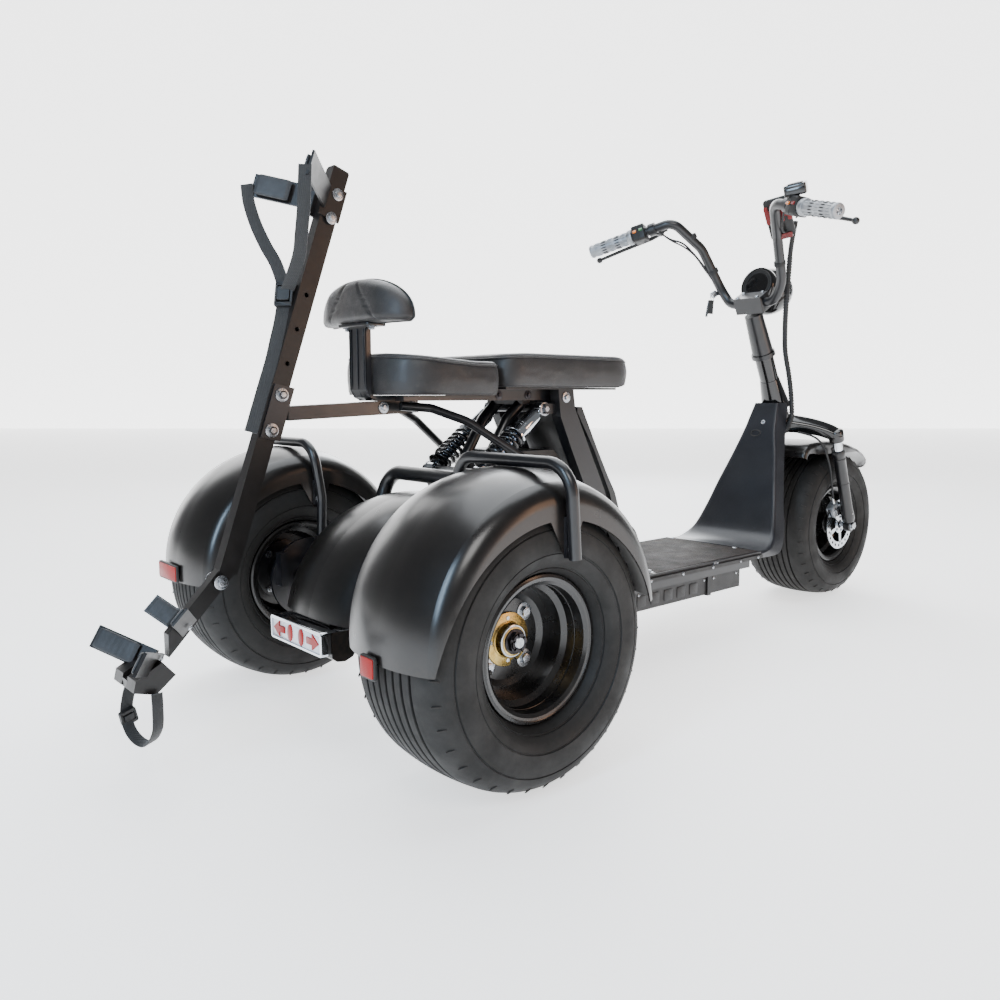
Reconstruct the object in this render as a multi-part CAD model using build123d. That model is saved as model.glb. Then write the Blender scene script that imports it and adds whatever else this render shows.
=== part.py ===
from build123d import *
import os
import math

os.makedirs("parts", exist_ok=True)

# ---------------------------------------------------------------------------
# Electric three-wheeled golf trike. All sizes in millimetres.
# Working frame: +X forward, +Y left, +Z up, rear axle over X = 0, ground at
# Z = 0. Every piece is shifted by -XC on export, so that the stored origin is
# the middle of the footprint box.
# ---------------------------------------------------------------------------
XC = 699.5

# wheels: 18 x 9.5-8 at the rear, 225/55-8 at the front
RR = 228.6            # rear tyre radius
RW = 116.0            # rear tyre half width
FR = 223.5            # front tyre radius
FW = 111.5            # front tyre half width
TRACK = 372.5         # rear wheel mid-plane from the centre plane
WB = 1613.0           # wheelbase
RIM_R = 103.0         # bead seat radius of an 8 inch rim
RIM_HW = 76.0         # half width between the rim flanges
SHAFT_R = 12.5        # rear half shaft
RUN = 0.05            # running clearance, radial

# steering axis: a point on it and its direction (pointing up)
SA = (1400.0, 0.0, 585.0)
SD = (-0.4680, 0.0, 0.8837)

SADDLE_HW = 132.0     # half width of both saddles
DECK_Z = 206.0        # top of the foot board
DECK_HW = 152.0


# --------------------------------------------------------------------------
# small helpers
# --------------------------------------------------------------------------
def bx(x0, x1, y0, y1, z0, z1):
    """axis aligned block from its limits"""
    return Pos((x0 + x1) / 2, (y0 + y1) / 2, (z0 + z1) / 2) * Box(x1 - x0, y1 - y0, z1 - z0)


def rod(p0, p1, r):
    """round bar between two points"""
    a, b = Vector(*p0), Vector(*p1)
    return extrude(Plane(origin=a, z_dir=(b - a)) * Circle(r), amount=(b - a).length)


def bar(p0, p1, w, h, side=(0, 1, 0)):
    """rectangular bar between two points; w runs along side"""
    a, b = Vector(*p0), Vector(*p1)
    pl = Plane(origin=a, x_dir=Vector(*side), z_dir=(b - a))
    return extrude(pl * Rectangle(w, h), amount=(b - a).length)


def bent(points, r, radii):
    """round tube bent along straight runs and arcs"""
    path = FilletPolyline(*points, radius=radii)
    return sweep(Plane(origin=path @ 0, z_dir=path % 0) * Circle(r), path=path)


def prof(points, y0, y1):
    """side profile in X, Z extruded across from y0 to y1"""
    f = make_face(Polyline(*[(p[0], p[1]) for p in points], close=True))
    return Pos(0, y1, 0) * extrude(Plane.XZ * f, amount=(y1 - y0))


def spin(points, cx, cy, cz, start=None, arc=360.0):
    """turn a (y, r) outline about the wheel axis through cx, cy, cz"""
    f = Plane.YZ * make_face(Polyline(*points, close=True))
    if start is not None:
        f = Rot(0, start, 0) * f
    return Pos(cx, cy, cz) * revolve(f, axis=Axis.Y, revolution_arc=arc)


def spin_face(face, cx, cy, cz, start=None, arc=360.0):
    f = Plane.YZ * face
    if start is not None:
        f = Rot(0, start, 0) * f
    return Pos(cx, cy, cz) * revolve(f, axis=Axis.Y, revolution_arc=arc)


def mir(s):
    return mirror(s, about=Plane.XZ)


def join(items):
    out = items[0]
    for i in items[1:]:
        out = out + i
    return out


def on_axis(along, fwd=0.0, y=0.0):
    """point measured along the steering axis from SA, fwd square to it"""
    return (SA[0] + SD[0] * along + SD[2] * fwd, y, SA[2] + SD[2] * along - SD[0] * fwd)


def axis_plane(along):
    """plane square to the steering axis; local x points forward"""
    return Plane(origin=on_axis(along), x_dir=(SD[2], 0, -SD[0]), z_dir=SD)


NODES = {}


def put(name, shape):
    NODES[name] = shape


# --------------------------------------------------------------------------
# wheels
# --------------------------------------------------------------------------
def tyre_face(hw, r_out):
    """closed tyre section in (y, r): flat bead, bulged walls, round crown"""
    k = hw / 116.0
    g = (r_out - 118.5) / (228.6 - 118.5)

    def q(y, r):
        return (y * k, 118.5 + (r - 118.5) * g)
    right = [
        Line((74.5, 103.2), (74.5, 118.5)),
        ThreePointArc((74.5, 118.5), q(100, 131), q(114, 158)),
        ThreePointArc(q(114, 158), q(115.6, 177), q(110, 196)),
        ThreePointArc(q(110, 196), q(93, 215.5), q(62, 225.2)),
    ]
    left = [
        ThreePointArc(q(-62, 225.2), q(-93, 215.5), q(-110, 196)),
        ThreePointArc(q(-110, 196), q(-115.6, 177), q(-114, 158)),
        ThreePointArc(q(-114, 158), q(-100, 131), (-74.5, 118.5)),
        Line((-74.5, 118.5), (-74.5, 103.2)),
    ]
    crown = [ThreePointArc(q(62, 225.2), (0, r_out), q(-62, 225.2))]
    return make_face(right + crown + left + [Line((-74.5, 103.2), (74.5, 103.2))])


# rim barrel outline in (y, r); s mirrors the dish to the outboard side
RIM_OUTLINE = [
    (-76, 103), (-76, 114.5), (-79, 117), (-83, 116), (-84.5, 112), (-83, 106), (-79, 100.5), (-44, 99),
    (-38, 90), (38, 90), (44, 99), (79, 100.5), (83, 106), (84.5, 112), (83, 116), (79, 117), (76, 114.5),
    (76, 103), (47, 103), (40, 94), (-40, 94), (-47, 103),
]


def rim_barrel():
    return spin(RIM_OUTLINE, 0, 0, 0)


def rear_wheel(side):
    """tyre, rim and hub of one rear wheel; side is +1 left, -1 right"""
    tag = "left" if side > 0 else "right"
    c = (0, side * TRACK, RR)
    tyre = Pos(*c) * spin_face(tyre_face(RW, RR), 0, 0, 0)
    put("rear_tyre_" + tag, tyre)
    # hub disc inside the barrel, dished to the outer side
    disc = spin([(-2, SHAFT_R + 14), (4, SHAFT_R + 14), (4, 66), (10, 76), (10, 92), (4, 92), (-2, 80)], 0, 0, 0)
    rim = rim_barrel() + disc
    for k in range(4):
        a = math.radians(45 + 90 * k)
        rim = rim - Pos(55 * math.cos(a), 0, 55 * math.sin(a)) * Rot(90, 0, 0) * Cylinder(5.5, 60)
    if side < 0:
        rim = mir(rim)
    put("rear_rim_" + tag, Pos(*c) * rim)
    # hub: inner carrier, yellow zinc flange, boss, castle nut, four bolts and half shaft
    parts = [
        spin([(-2, 26), (-2, 66), (-8, 66), (-8, 40), (-62, 34), (-62, 0), (-8, 0), (-8, 26)], 0, 0, 0),
        spin([(-10, 0), (-10, 26.3), (4.05, 26.3), (4.05, 44), (7.5, 44), (7.5, 23), (26, 22), (26, 0)], 0, 0, 0),
        spin([(25, 0), (25, 16), (36, 16), (38, 13), (38, 0)], 0, 0, 0),
        spin([(-196, 0), (-196, SHAFT_R), (-30, SHAFT_R), (-30, 0)], 0, 0, 0),
    ]
    hub = join(parts)
    for k in range(4):
        a = math.radians(45 + 90 * k)
        hub = hub + Pos(55 * math.cos(a), 1, 55 * math.sin(a)) * Rot(90, 0, 0) * Cylinder(5.0, 18)
        hub = hub + Pos(55 * math.cos(a), 8.55, 55 * math.sin(a)) * Rot(90, 0, 0) * extrude(RegularPolygon(8.5, 6), amount=4.5, both=True)
    # notch in the flange rim
    hub = hub - Pos(40 * math.cos(math.radians(200)), 6, 40 * math.sin(math.radians(200))) * Box(16, 6, 12)
    if side < 0:
        hub = mir(hub)
    put("rear_hub_" + tag, Pos(*c) * hub)


rear_wheel(+1)
rear_wheel(-1)

# front wheel
FC = (WB, 0, FR)
put("front_tyre", Pos(*FC) * spin_face(tyre_face(FW, FR), 0, 0, 0))
f_disc = spin([(-10, 24), (-4, 24), (-4, 60), (2, 70), (2, 92), (-4, 92), (-10, 70)], 0, 0, 0)
f_rim = rim_barrel() + f_disc
for k in range(5):
    a = math.radians(18 + 72 * k)
    f_rim = f_rim - Pos(45 * math.cos(a), 0, 45 * math.sin(a)) * Rot(90, 0, 0) * Cylinder(8, 40)
# hub shell with a through bore for the axle
AXLE_R = 7.0
f_hub = spin([(-100, AXLE_R + RUN), (-100, 22), (-62, 30), (-10.05, 30), (-10.05, 34), (-10, 34), (-10, 24), (-4, 24),
              (-4, 34), (-3.9, 34), (-3.9, 30), (62, 28), (100, 20), (100, AXLE_R + RUN)], 0, 0, 0)
put("front_rim", Pos(*FC) * (f_rim + f_hub))
# perforated brake disc with five arms, on the right end of the hub
DISC_Y = -103.5
disc = spin([(DISC_Y - 1.5, 55), (DISC_Y - 1.5, 76), (DISC_Y + 1.5, 76), (DISC_Y + 1.5, 55)], 0, 0, 0)
disc = disc + spin([(DISC_Y - 1.5, AXLE_R + 6), (DISC_Y - 1.5, 28), (DISC_Y + 3.5, 28), (DISC_Y + 3.5, AXLE_R + 6)], 0, 0, 0)
for k in range(5):
    disc = disc + Rot(0, 72 * k + 10, 0) * bx(20, 60, DISC_Y - 1.5, DISC_Y + 1.5, -6, 6)
for k in range(20):
    a = math.radians(18 * k)
    disc = disc - Pos(65.5 * math.cos(a), DISC_Y, 65.5 * math.sin(a)) * Rot(90, 0, 0) * Cylinder(4.2, 10)
put("brake_disc", Pos(*FC) * disc)

# --------------------------------------------------------------------------
# front fork, on the steering axis
# --------------------------------------------------------------------------
LEG_Y = 135.0
LEG_TOP = (1508.0, 496.0)     # X, Z where a leg enters the crown
LEG_END = (WB, FR)
CROWN = -64.0                 # place of the crown's middle along the axis
boss = extrude(axis_plane(CROWN - 22) * Circle(31), amount=42)
u_leg = Vector(LEG_END[0] - LEG_TOP[0], 0, LEG_END[1] - LEG_TOP[1]).normalized()


def leg_pt(d, y):
    return (LEG_TOP[0] + u_leg.X * d, y, LEG_TOP[1] + u_leg.Z * d)


arms = [boss]
for s in (1, -1):
    # arm section turns from deep at the stem to shallow at the leg
    root = Plane(origin=(1430, s * 8, 531), x_dir=(0.91, 0, 0.42), z_dir=(0.35, s * 0.93, -0.18)) * RectangleRounded(50, 46, 12)
    midp = Plane(origin=(1478, s * 84, 517), x_dir=(0.91, 0, 0.42), z_dir=(0.50, s * 0.83, -0.18)) * RectangleRounded(44, 40, 12)
    tipp = Plane(origin=(1500, s * 124, 503), x_dir=(0.91, 0, 0.42), z_dir=(0.45, s * 0.86, -0.25)) * RectangleRounded(42, 34, 12)
    arms.append(loft([root, midp, tipp], ruled=True))
    arms.append(rod(leg_pt(-24, s * LEG_Y), leg_pt(16, s * LEG_Y), 22))
crown = join(arms)
steerer = rod(on_axis(CROWN + 10), on_axis(158), 14.0)
put("fork_crown", crown + steerer)

LEG_LEN = math.hypot(LEG_END[0] - LEG_TOP[0], LEG_END[1] - LEG_TOP[1])
stan = [rod(leg_pt(16, s * LEG_Y), leg_pt(90, s * LEG_Y), 13.0) for s in (1, -1)]
put("fork_tubes", stan[0] + stan[1])
low = []
for s in (1, -1):
    leg = rod(leg_pt(48, s * LEG_Y), leg_pt(LEG_LEN - 12, s * LEG_Y), 17.0)
    leg = leg + Pos(WB, s * (LEG_Y - 2), FR) * Rot(90, 0, 0) * Cylinder(19, 20)
    leg = leg - rod(leg_pt(40, s * LEG_Y), leg_pt(92, s * LEG_Y), 13.0)
    leg = leg - Pos(WB, s * LEG_Y, FR) * Rot(90, 0, 0) * Cylinder(AXLE_R, 60)
    low.append(leg)
axle = Pos(WB, 0, FR) * Rot(90, 0, 0) * Cylinder(AXLE_R, 296)
for s in (1, -1):
    axle = axle + Pos(WB, s * 147.5, FR) * Rot(90, 0, 0) * extrude(RegularPolygon(13, 6), amount=4.5, both=True)

put("fork_sliders", low[0] + low[1] + axle)

# front mudguard: shallow arched blade from behind the wheel to a nose in front
blade_out = prof([(1386, 436), (1394, 456), (1417, 473), (1470, 482), (1540, 482), (1610, 474), (1680, 460),
                  (1740, 446), (1800, 427), (1850, 405), (1888, 385), (1888, 300), (1386, 300)], -130, 130)
blade_in = prof([(1380, 410), (1390, 436), (1398, 453), (1419, 469), (1470, 478), (1540, 478), (1610, 470), (1680, 456),
                 (1740, 442), (1800, 423), (1850, 401), (1892, 379), (1892, 280), (1380, 280)], -140, 140)
blade = blade_out - blade_in
# plan outline: narrows to a rounded nose
plan = make_face(Polyline((1340, -104), (1640, -112), (1760, -96), (1840, -70), (1876, -44), (1888, -16), (1888, 16),
                          (1876, 44), (1840, 70), (1760, 96), (1640, 112), (1340, 104), close=True))
blade = blade & (Pos(0, 0, 280) * extrude(plan, amount=260))
# side skirts of the guard, rolled down at the edges
skirt = []
for s in (1, -1):
    sk = prof([(1386, 436), (1394, 456), (1417, 473), (1470, 482), (1540, 482), (1610, 474), (1680, 460),
               (1706, 454), (1700, 446), (1610, 446), (1540, 446), (1480, 438), (1448, 422)], 104, 107)
    skirt.append(sk if s > 0 else mir(sk))
# stays from the guard to the fork sliders
stays = []
for s in (1, -1):
    st = bx(1540, 1562, s * 108 - 1.5, s * 108 + 1.5, 424, 462) + bx(1540, 1562, min(s * 107, s * 117.9), max(s * 107, s * 117.9), 424, 428)
    stays.append(st)
put("front_fender", blade + skirt[0] + skirt[1] + stays[0] + stays[1])

# brake caliper on the right slider, round the disc
cal = bx(-28, 22, DISC_Y - 15, DISC_Y + 11, 48, 84)
cal = cal - bx(-40, 40, DISC_Y - 2.5, DISC_Y + 2.5, 40, 79)
cal = cal + bx(-22, 12, DISC_Y - 19, DISC_Y - 14, 58, 84)
cal = Rot(0, -38, 0) * cal
put("brake_caliper", Pos(*FC) * cal - NODES["fork_sliders"])

# --------------------------------------------------------------------------
# steering column, bar and controls
# --------------------------------------------------------------------------
SEAM = 157.0                  # joint between fixed head tube and turning column
column = extrude(axis_plane(SEAM + 1) * Circle(30), amount=128, taper=2.4)
column = column + extrude(axis_plane(SEAM + 1) * Circle(33), amount=12)
clamp_at = (1257.0, 0.0, 869.0)
clamp = Pos(*clamp_at) * Rot(0, -28, 0) * Box(44, 84, 46)
clamp = clamp - Pos(*clamp_at) * Rot(90, 0, 0) * Cylinder(12.75, 200)
put("steering_column", column + clamp)

BAR_R = 12.7
half = [(1257, 0, 869), (1257, 68, 869), (1249, 96, 912), (1180, 118, 1022), (1096, 156, 1090), (1006, 374, 1026)]
bar_l = bent(half, BAR_R, [34, 110, 70, 40])
put("handlebar", bar_l + mir(bar_l))

# grips are sleeves on the last stretch of the bar
g_dir = Vector(1006 - 1096, 374 - 156, 1026 - 1090).normalized()


def bar_pt(d, s, off=(0, 0, 0)):
    """point on the straight end of the bar, d back from its tip"""
    return (1006 - g_dir.X * d + off[0], s * (374 - g_dir.Y * d) + off[1], 1026 - g_dir.Z * d + off[2])


grips = []
for s in (1, -1):
    g = rod(bar_pt(122, s), bar_pt(-4, s), 17.0) - rod(bar_pt(124, s), bar_pt(0, s), BAR_R)
    g = g + (rod(bar_pt(126, s), bar_pt(120, s), 21.0) - rod(bar_pt(127, s), bar_pt(119, s), BAR_R))
    grips.append(g)
put("grips", grips[0] + grips[1])
# switch boxes clamped beside the grips
boxes = []
for s in (1, -1):
    b = Plane(origin=bar_pt(166, s), x_dir=(1, 0, 0), z_dir=(g_dir.X, s * g_dir.Y, g_dir.Z))
    bb = extrude(b * Rectangle(44, 46), amount=36)
    bb = bb - rod(bar_pt(170, s), bar_pt(120, s), BAR_R + 0.05)
    boxes.append(bb)
# brake levers: pivot block in front of the bar and a long blade with a ball end
levers = []
for s in (1, -1):
    p0 = Vector(*bar_pt(185, s, (26, 0, -2)))
    tip = Vector(*bar_pt(-18, s, (58, 0, -12)))
    ring = rod(bar_pt(194, s), bar_pt(175, s), 18.0)
    blk = ring + bar(bar_pt(184, s, (12, 0, 0)), bar_pt(184, s, (46, 0, -6)), 14, 16)
    mid = Vector(*bar_pt(120, s, (50, 0, -8)))
    lv = bent([bar_pt(186, s, (40, 0, -5)), tuple(mid), tuple(tip)], 6.0, [60]) + Pos(*tip) * Sphere(8.5)
    levers.append(blk + lv - rod(bar_pt(200, s), bar_pt(170, s), BAR_R + 0.05))
put("brake_levers", levers[0] + levers[1])

# mirror boss and square lamp switch on the right side of the bar
put("switch_boxes", boxes[0] + boxes[1] + Pos(*bar_pt(160, -1, (2, 0, 40))) * Rot(0, -20, 22) * Box(46, 52, 26)
    + rod(bar_pt(150, -1, (2, 0, 20)), bar_pt(156, -1, (2, 0, 30)), 7))

# phone holder on the riser of the bar
ph = Pos(1164, -132, 1068) * Rot(0, -30, -24)
put("phone_holder", ph * (Box(16, 66, 108) + Pos(-14, 0, 0) * Box(14, 46, 66)) + ph * Pos(20, 8, -8) * Box(40, 22, 22)
    - rod((1250, -96, 905), (1100, -158, 1100), 16) - NODES["handlebar"])

# headlamp with the dial on its back, in front of the bar clamp
outline = make_face(Polyline((0, -40), (54, -40), (62, -32), (65, -20), (65, 14), (61, 27), (50, 36), (0, 40), close=True))
lamp = Pos(1335, 0, 905) * Rot(0, 90 - 14, 0) * revolve(Plane.XZ * outline, Axis.Z)
dial = Pos(1289, 0, 918) * Rot(0, -(90 + 14), 0) * Cylinder(52, 26)
stem = rod((1262, 0, 884), (1318, 0, 893), 13)
put("headlamp", lamp + dial + stem - NODES["handlebar"] - NODES["steering_column"])

# --------------------------------------------------------------------------
# fixed frame
# --------------------------------------------------------------------------
head = rod(on_axis(CROWN + 25), on_axis(SEAM - 1), 26.0)
head = head + (rod(on_axis(CROWN + 25), on_axis(CROWN + 40), 31))
head = head + extrude(axis_plane(-4) * Circle(40), amount=90, taper=8)
head = head - rod(on_axis(CROWN), on_axis(SEAM + 10), 14.0 + RUN)
put("head_tube", head)

RAIL_Y = 112.0
rails = []
for s in (1, -1):
    rails.append(bar((330, s * RAIL_Y, 176), (1080, s * RAIL_Y, 176), 30, 28))
rails.append(bx(330, 360, -RAIL_Y, RAIL_Y, 162, 190))
rails.append(bx(700, 730, -RAIL_Y, RAIL_Y, 166, 190))
rails.append(bx(1060, 1090, -RAIL_Y - 15, RAIL_Y + 15, 162, 190))
rails.append(bent([(1070, 0, 170), (1196, 0, 172), (1252, 0, 300), (1334, 0, 505), (1389, 0, 590)], 18, [90, 300, 60]))
rails.append(bx(1118, 1146, -16, 16, 150, 180))
for s in (1, -1):
    rails.append(bx(436, 474, min(s * 96.5, s * 104), max(s * 96.5, s * 104), 186, 258))
put("main_frame", join(rails) - NODES["head_tube"] - rod(on_axis(-90), on_axis(170), 24))

# under seat frame: two broad front legs, two rear legs, bed plates and cross tubes
LEGS_Y = 96.0
legs = []
for s in (1, -1):
    legs.append(prof([(385, 626), (429, 626), (436, 585), (484, 494), (532, 405), (560, 330), (572, DECK_Z),
                      (530, DECK_Z), (512, 330), (478, 400), (430, 492), (392, 570)],
                     min(s * (LEGS_Y - 13), s * (LEGS_Y + 13)), max(s * (LEGS_Y - 13), s * (LEGS_Y + 13))))
    legs.append(bent([(358, s * 38, 609), (306, s * 38, 566), (250, s * 38, 478), (256, s * 38, 330), (352, s * 38, 180)],
                     12, [60, 70, 90]))
legs.append(bx(390, 424, -LEGS_Y, LEGS_Y, 588, 603.9))
legs.append(bx(528, 560, -LEGS_Y, LEGS_Y, DECK_Z, DECK_Z + 22))
legs.append(bx(332, 352, -56, 56, 596, 603.9))
legs.append(rod((366, -LEGS_Y, 586), (366, LEGS_Y, 586), 7))
for s in (1, -1):
    legs.append(bx(360, 402, min(s * 89, s * 96), max(s * 89, s * 96), 576, 597))
put("seat_frame", join(legs) - bx(300, 380, -60, 60, 603.9, 640) - bx(300, 390, -60, 60, 150, 190.05))

# rails of the saddle bed that carry both saddles
bed = []
for s in (1, -1):
    bed.append(bx(20, 430, s * 62 - 13, s * 62 + 13, 604, 613.9))
    bed.append(bx(232, 430, s * 62 - 13, s * 62 + 13, 604, 627))
bed.append(bx(26, 206, -100, 100, 611.95, 614))
bed.append(bx(236, 262, -62, 62, 606, 627))
bed.append(bx(400, 426, -62, 62, 606, 627))
bed.append(bx(236, 560, -112, 112, 626, 630))

# controller case between the legs with a front cover
case = prof([(286, 300), (470, 300), (470, 395), (430, 470), (400, 500), (300, 500), (286, 480)], -80, 80)
put("controller_case", fillet(case.edges().filter_by(Axis.Y), radius=8))
cover = prof([(442, 590), (456, 590), (505, 500), (540, 440), (566, 400), (592, 330), (596, 226), (576, 226),
              (574, 330), (548, 400), (496, 496), (442, 578)], -LEGS_Y - 13, LEGS_Y + 13)
put("front_cover", cover)

# foot board: edged tray with a mat bed
deck = bx(500, 1101.5, -DECK_HW, DECK_HW, 190, DECK_Z)
deck = deck + bx(498, 1101.5, -DECK_HW - 6, DECK_HW + 6, 190, 199)
put("foot_board", deck)
# battery case hung under the board
bat = bx(470, 1052, -122, 122, 116, 161.5)
bat = bat + bx(610, 625, -126, 126, 113, 161.5) + bx(905, 920, -126, 126, 113, 161.5)
put("battery_case", bat)

# leg shield: tapered face with deep side returns, running into the foot board
# columns: X, half width, Z of the rider side face, depth of the side return
SHIELD = [
    (1345, 38, 592, 60), (1313, 52, 514, 57), (1286, 73, 441, 48), (1254, 94, 368, 45),
    (1227, 112, 301, 45), (1199, 128, 246, 46), (1176, 140, 222, 50), (1140, 148, 207, 60), (1102, 152, 206, 70),
]
face_line = [(x, z) for x, h, z, d in SHIELD]
front_line = [(1402, 592), (1370, 514), (1334, 441), (1301, 368), (1274, 301), (1256, 246), (1228, 205), (1190, 186), (1102, 186)]
solid = prof(face_line + front_line[::-1], -160, 160)
outline = make_face(Polyline(*([(-h, z) for x, h, z, d in SHIELD] + [(-152, 180), (152, 180)] + [(h, z) for x, h, z, d in SHIELD[::-1]]), close=True))
solid = solid & (Pos(1000, 0, 0) * extrude(Plane.YZ * outline, amount=500))
T = 4.0
inner_line = [(1345 + 5, 600), (1313 + 4.5, 514), (1286 + 4.5, 441), (1254 + 4.5, 368), (1227 + 4.5, 301), (1199 + 4.5, 244),
              (1180, 217.5), (1141, 202), (1098, 201)]
inner_front = [(1420, 600), (1390, 514), (1350, 441), (1320, 368), (1290, 301), (1274, 246), (1240, 185), (1195, 180), (1098, 180)]
hollow = prof(inner_line + inner_front[::-1], -160, 160)
inset = make_face(Polyline(*([(-h + T, z) for x, h, z, d in SHIELD] + [(-148, 170), (148, 170)] + [(h - T, z) for x, h, z, d in SHIELD[::-1]]), close=True))
hollow = hollow & (Pos(1000, 0, 0) * extrude(Plane.YZ * inset, amount=500))
put("leg_shield", solid - hollow - NODES["head_tube"] - NODES["main_frame"])

# --------------------------------------------------------------------------
# saddles, back rest
# --------------------------------------------------------------------------
front_pad = prof([(226, 630), (560, 630), (598, 642), (606, 664), (598, 690), (560, 699), (420, 697), (300, 699), (236, 697),
                  (222, 676)], -140, 140)
front_plan = make_face(Polyline((222, -104), (250, -SADDLE_HW), (556, -SADDLE_HW), (594, -112), (606, -80), (606, 80), (594, 112),
                                (556, SADDLE_HW), (250, SADDLE_HW), (222, 104), close=True))
put("seat_front", front_pad & (Pos(0, 0, 600) * extrude(front_plan, amount=140)))
rear_pad = prof([(-20, 614), (206, 614), (218, 634), (216, 668), (190, 677), (120, 678), (50, 684), (0, 690), (-20, 690)], -140, 140)
RHW = SADDLE_HW - 4
rear_plan = make_face([ThreePointArc((62, RHW), (-14, 0), (62, -RHW)), Line((62, -RHW), (218, -RHW + 6)),
                       Line((218, -RHW + 6), (218, RHW - 6)), Line((218, RHW - 6), (62, RHW))])
put("seat_rear", rear_pad & (Pos(0, 0, 600) * extrude(rear_plan, amount=140)))
put("seat_bed", join(bed))

# back rest post: flat bar from the bed, up behind the rear saddle
post = prof([(60, 604), (-6, 604), (-20, 610), (-28, 624), (-28, 742), (-18, 742), (-18, 621), (-15, 613.9), (-2, 611.9), (60, 611.9)],
            -29, 29)
put("backrest_post", post)
half_moon = make_face([Line((-140, 741), (140, 741)), ThreePointArc((140, 741), (0, 824), (-140, 741))])
bk = extrude(Plane.YZ * half_moon, amount=70)
put("backrest_pad", Pos(-48, 0, 1) * bk)

# --------------------------------------------------------------------------
# rear swing arm, axle, brakes, shock absorbers, struts
# --------------------------------------------------------------------------
ARM_Y = 118.0
arm = []
for s in (1, -1):
    arm.append(bar((455, s * 80, 236), (30, s * ARM_Y, RR), 24, 44))
    arm.append(bar((330, s * 92, 236), (200, s * 100, 462), 14, 26))
hoop = bent([(60, 131, 236), (125, 131, 456), (125, -131, 456), (60, -131, 236)], 15, [42, 42])
arm.append(hoop)
arm.append(bar((128, 0, 452), (196, 0, 462), 60, 14))
arm.append(rod((200, -106, 462), (200, 106, 462), 7))
arm.append(rod((455, -96.4, 236), (455, 96.4, 236), 17))
put("swing_arm", join(arm) - rod((0, -240, RR), (0, 240, RR), 33.05))

HOUSE = 232.0
ax = Pos(0, 0, RR) * Rot(90, 0, 0) * Cylinder(33, 2 * HOUSE)
ax = ax + Pos(0, 12, RR) * Rot(90, 0, 0) * Cylinder(92, 110)
ax = ax + Pos(18, -64, RR) * Rot(90, 0, 0) * Cylinder(60, 60)
for s in (1, -1):
    ax = ax - Pos(0, s * (HOUSE - 30), RR) * Rot(90, 0, 0) * Cylinder(SHAFT_R + RUN, 62)
    ax = ax + bx(-16, 46, min(s * 205, s * 232), max(s * 205, s * 232), RR + 20, RR + 48)
br = []
for s in (1, -1):
    plate = Pos(0, s * 262, RR) * Rot(90, 0, 0) * Cylinder(84, 8)
    plate = plate + Pos(0, s * 248, RR) * Rot(90, 0, 0) * Cylinder(36, 31)
    plate = plate + bx(-74, -60, min(s * 236, s * 258), max(s * 236, s * 258), RR - 8, RR + 62)
    plate = plate - Pos(0, s * 250, RR) * Rot(90, 0, 0) * Cylinder(SHAFT_R + 1.0, 60)
    br.append(plate)
put("rear_axle", ax + br[0] + br[1])

sh, sp = [], []
for s in (1, -1):
    lo, hi = Vector(200, s * 76, 462), Vector(366, s * 76, 586)
    d = (hi - lo).normalized()
    n = (hi - lo).length
    a = rod(lo, hi, 9) + rod(lo + d * 118, hi - d * 17, 18)
    a = a + Pos(*lo) * Rot(90, 0, 0) * Cylinder(14, 22) + Pos(*hi) * Rot(90, 0, 0) * Cylinder(14, 22)
    a = a + rod(lo + d * 16, lo + d * 20, 25) + rod(lo + d * 116, lo + d * 120, 25)
    a = a - Pos(*lo) * Rot(90, 0, 0) * Cylinder(7.0, 60) - Pos(*hi) * Rot(90, 0, 0) * Cylinder(7.0, 60)
    sh.append(a)
    sp.append(rod(lo + d * 20.2, lo + d * 115.8, 25) - rod(lo + d * 19, lo + d * 118, 18.5))
put("shock_absorbers", sh[0] + sh[1])
put("shock_springs", sp[0] + sp[1])

st = []
for s in (1, -1):
    st.append(bent([(36, s * 42, 594.5), (96, s * 56, 590), (160, s * 84, 565), (385, s * 158, 420), (560, s * 164, 320), (640, s * 140, DECK_Z)],
                   8.5, [40, 60, 400, 60]))
put("rear_struts", st[0] + st[1] - bx(490, 1101, -170, 170, 150, DECK_Z + 0.05))


# --------------------------------------------------------------------------
# mudguards
# --------------------------------------------------------------------------
def guard_face(out, skirt_r, drop, t):
    """arched shell section in (y, r): crown radius out, sides at +-hw"""
    def side(y, r):
        return (y, r)
    o = [
        Line((-120, skirt_r), (-120, out - 52)),
        ThreePointArc((-120, out - 52), (-114.5, out - 30), (-98, out - 16)),
        ThreePointArc((-98, out - 16), (-52, out - 3.5), (0, out)),
        ThreePointArc((0, out), (52, out - 3.5), (98, out - 16)),
        ThreePointArc((98, out - 16), (114.5, out - 30), (120, out - 52)),
        Line((120, out - 52), (120, skirt_r)),
        Line((120, skirt_r), (120 - t, skirt_r)),
        Line((120 - t, skirt_r), (120 - t, out - 52)),
        ThreePointArc((120 - t, out - 52), (112, out - 32), (96.5, out - 16 - t)),
        ThreePointArc((96.5, out - 16 - t), (52, out - 3.5 - t), (0, out - t)),
        ThreePointArc((0, out - t), (-52, out - 3.5 - t), (-96.5, out - 16 - t)),
        ThreePointArc((-96.5, out - 16 - t), (-112, out - 32), (-120 + t, out - 52)),
        Line((-120 + t, out - 52), (-120 + t, skirt_r)),
        Line((-120 + t, skirt_r), (-120, skirt_r)),
    ]
    return make_face(o)


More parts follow.
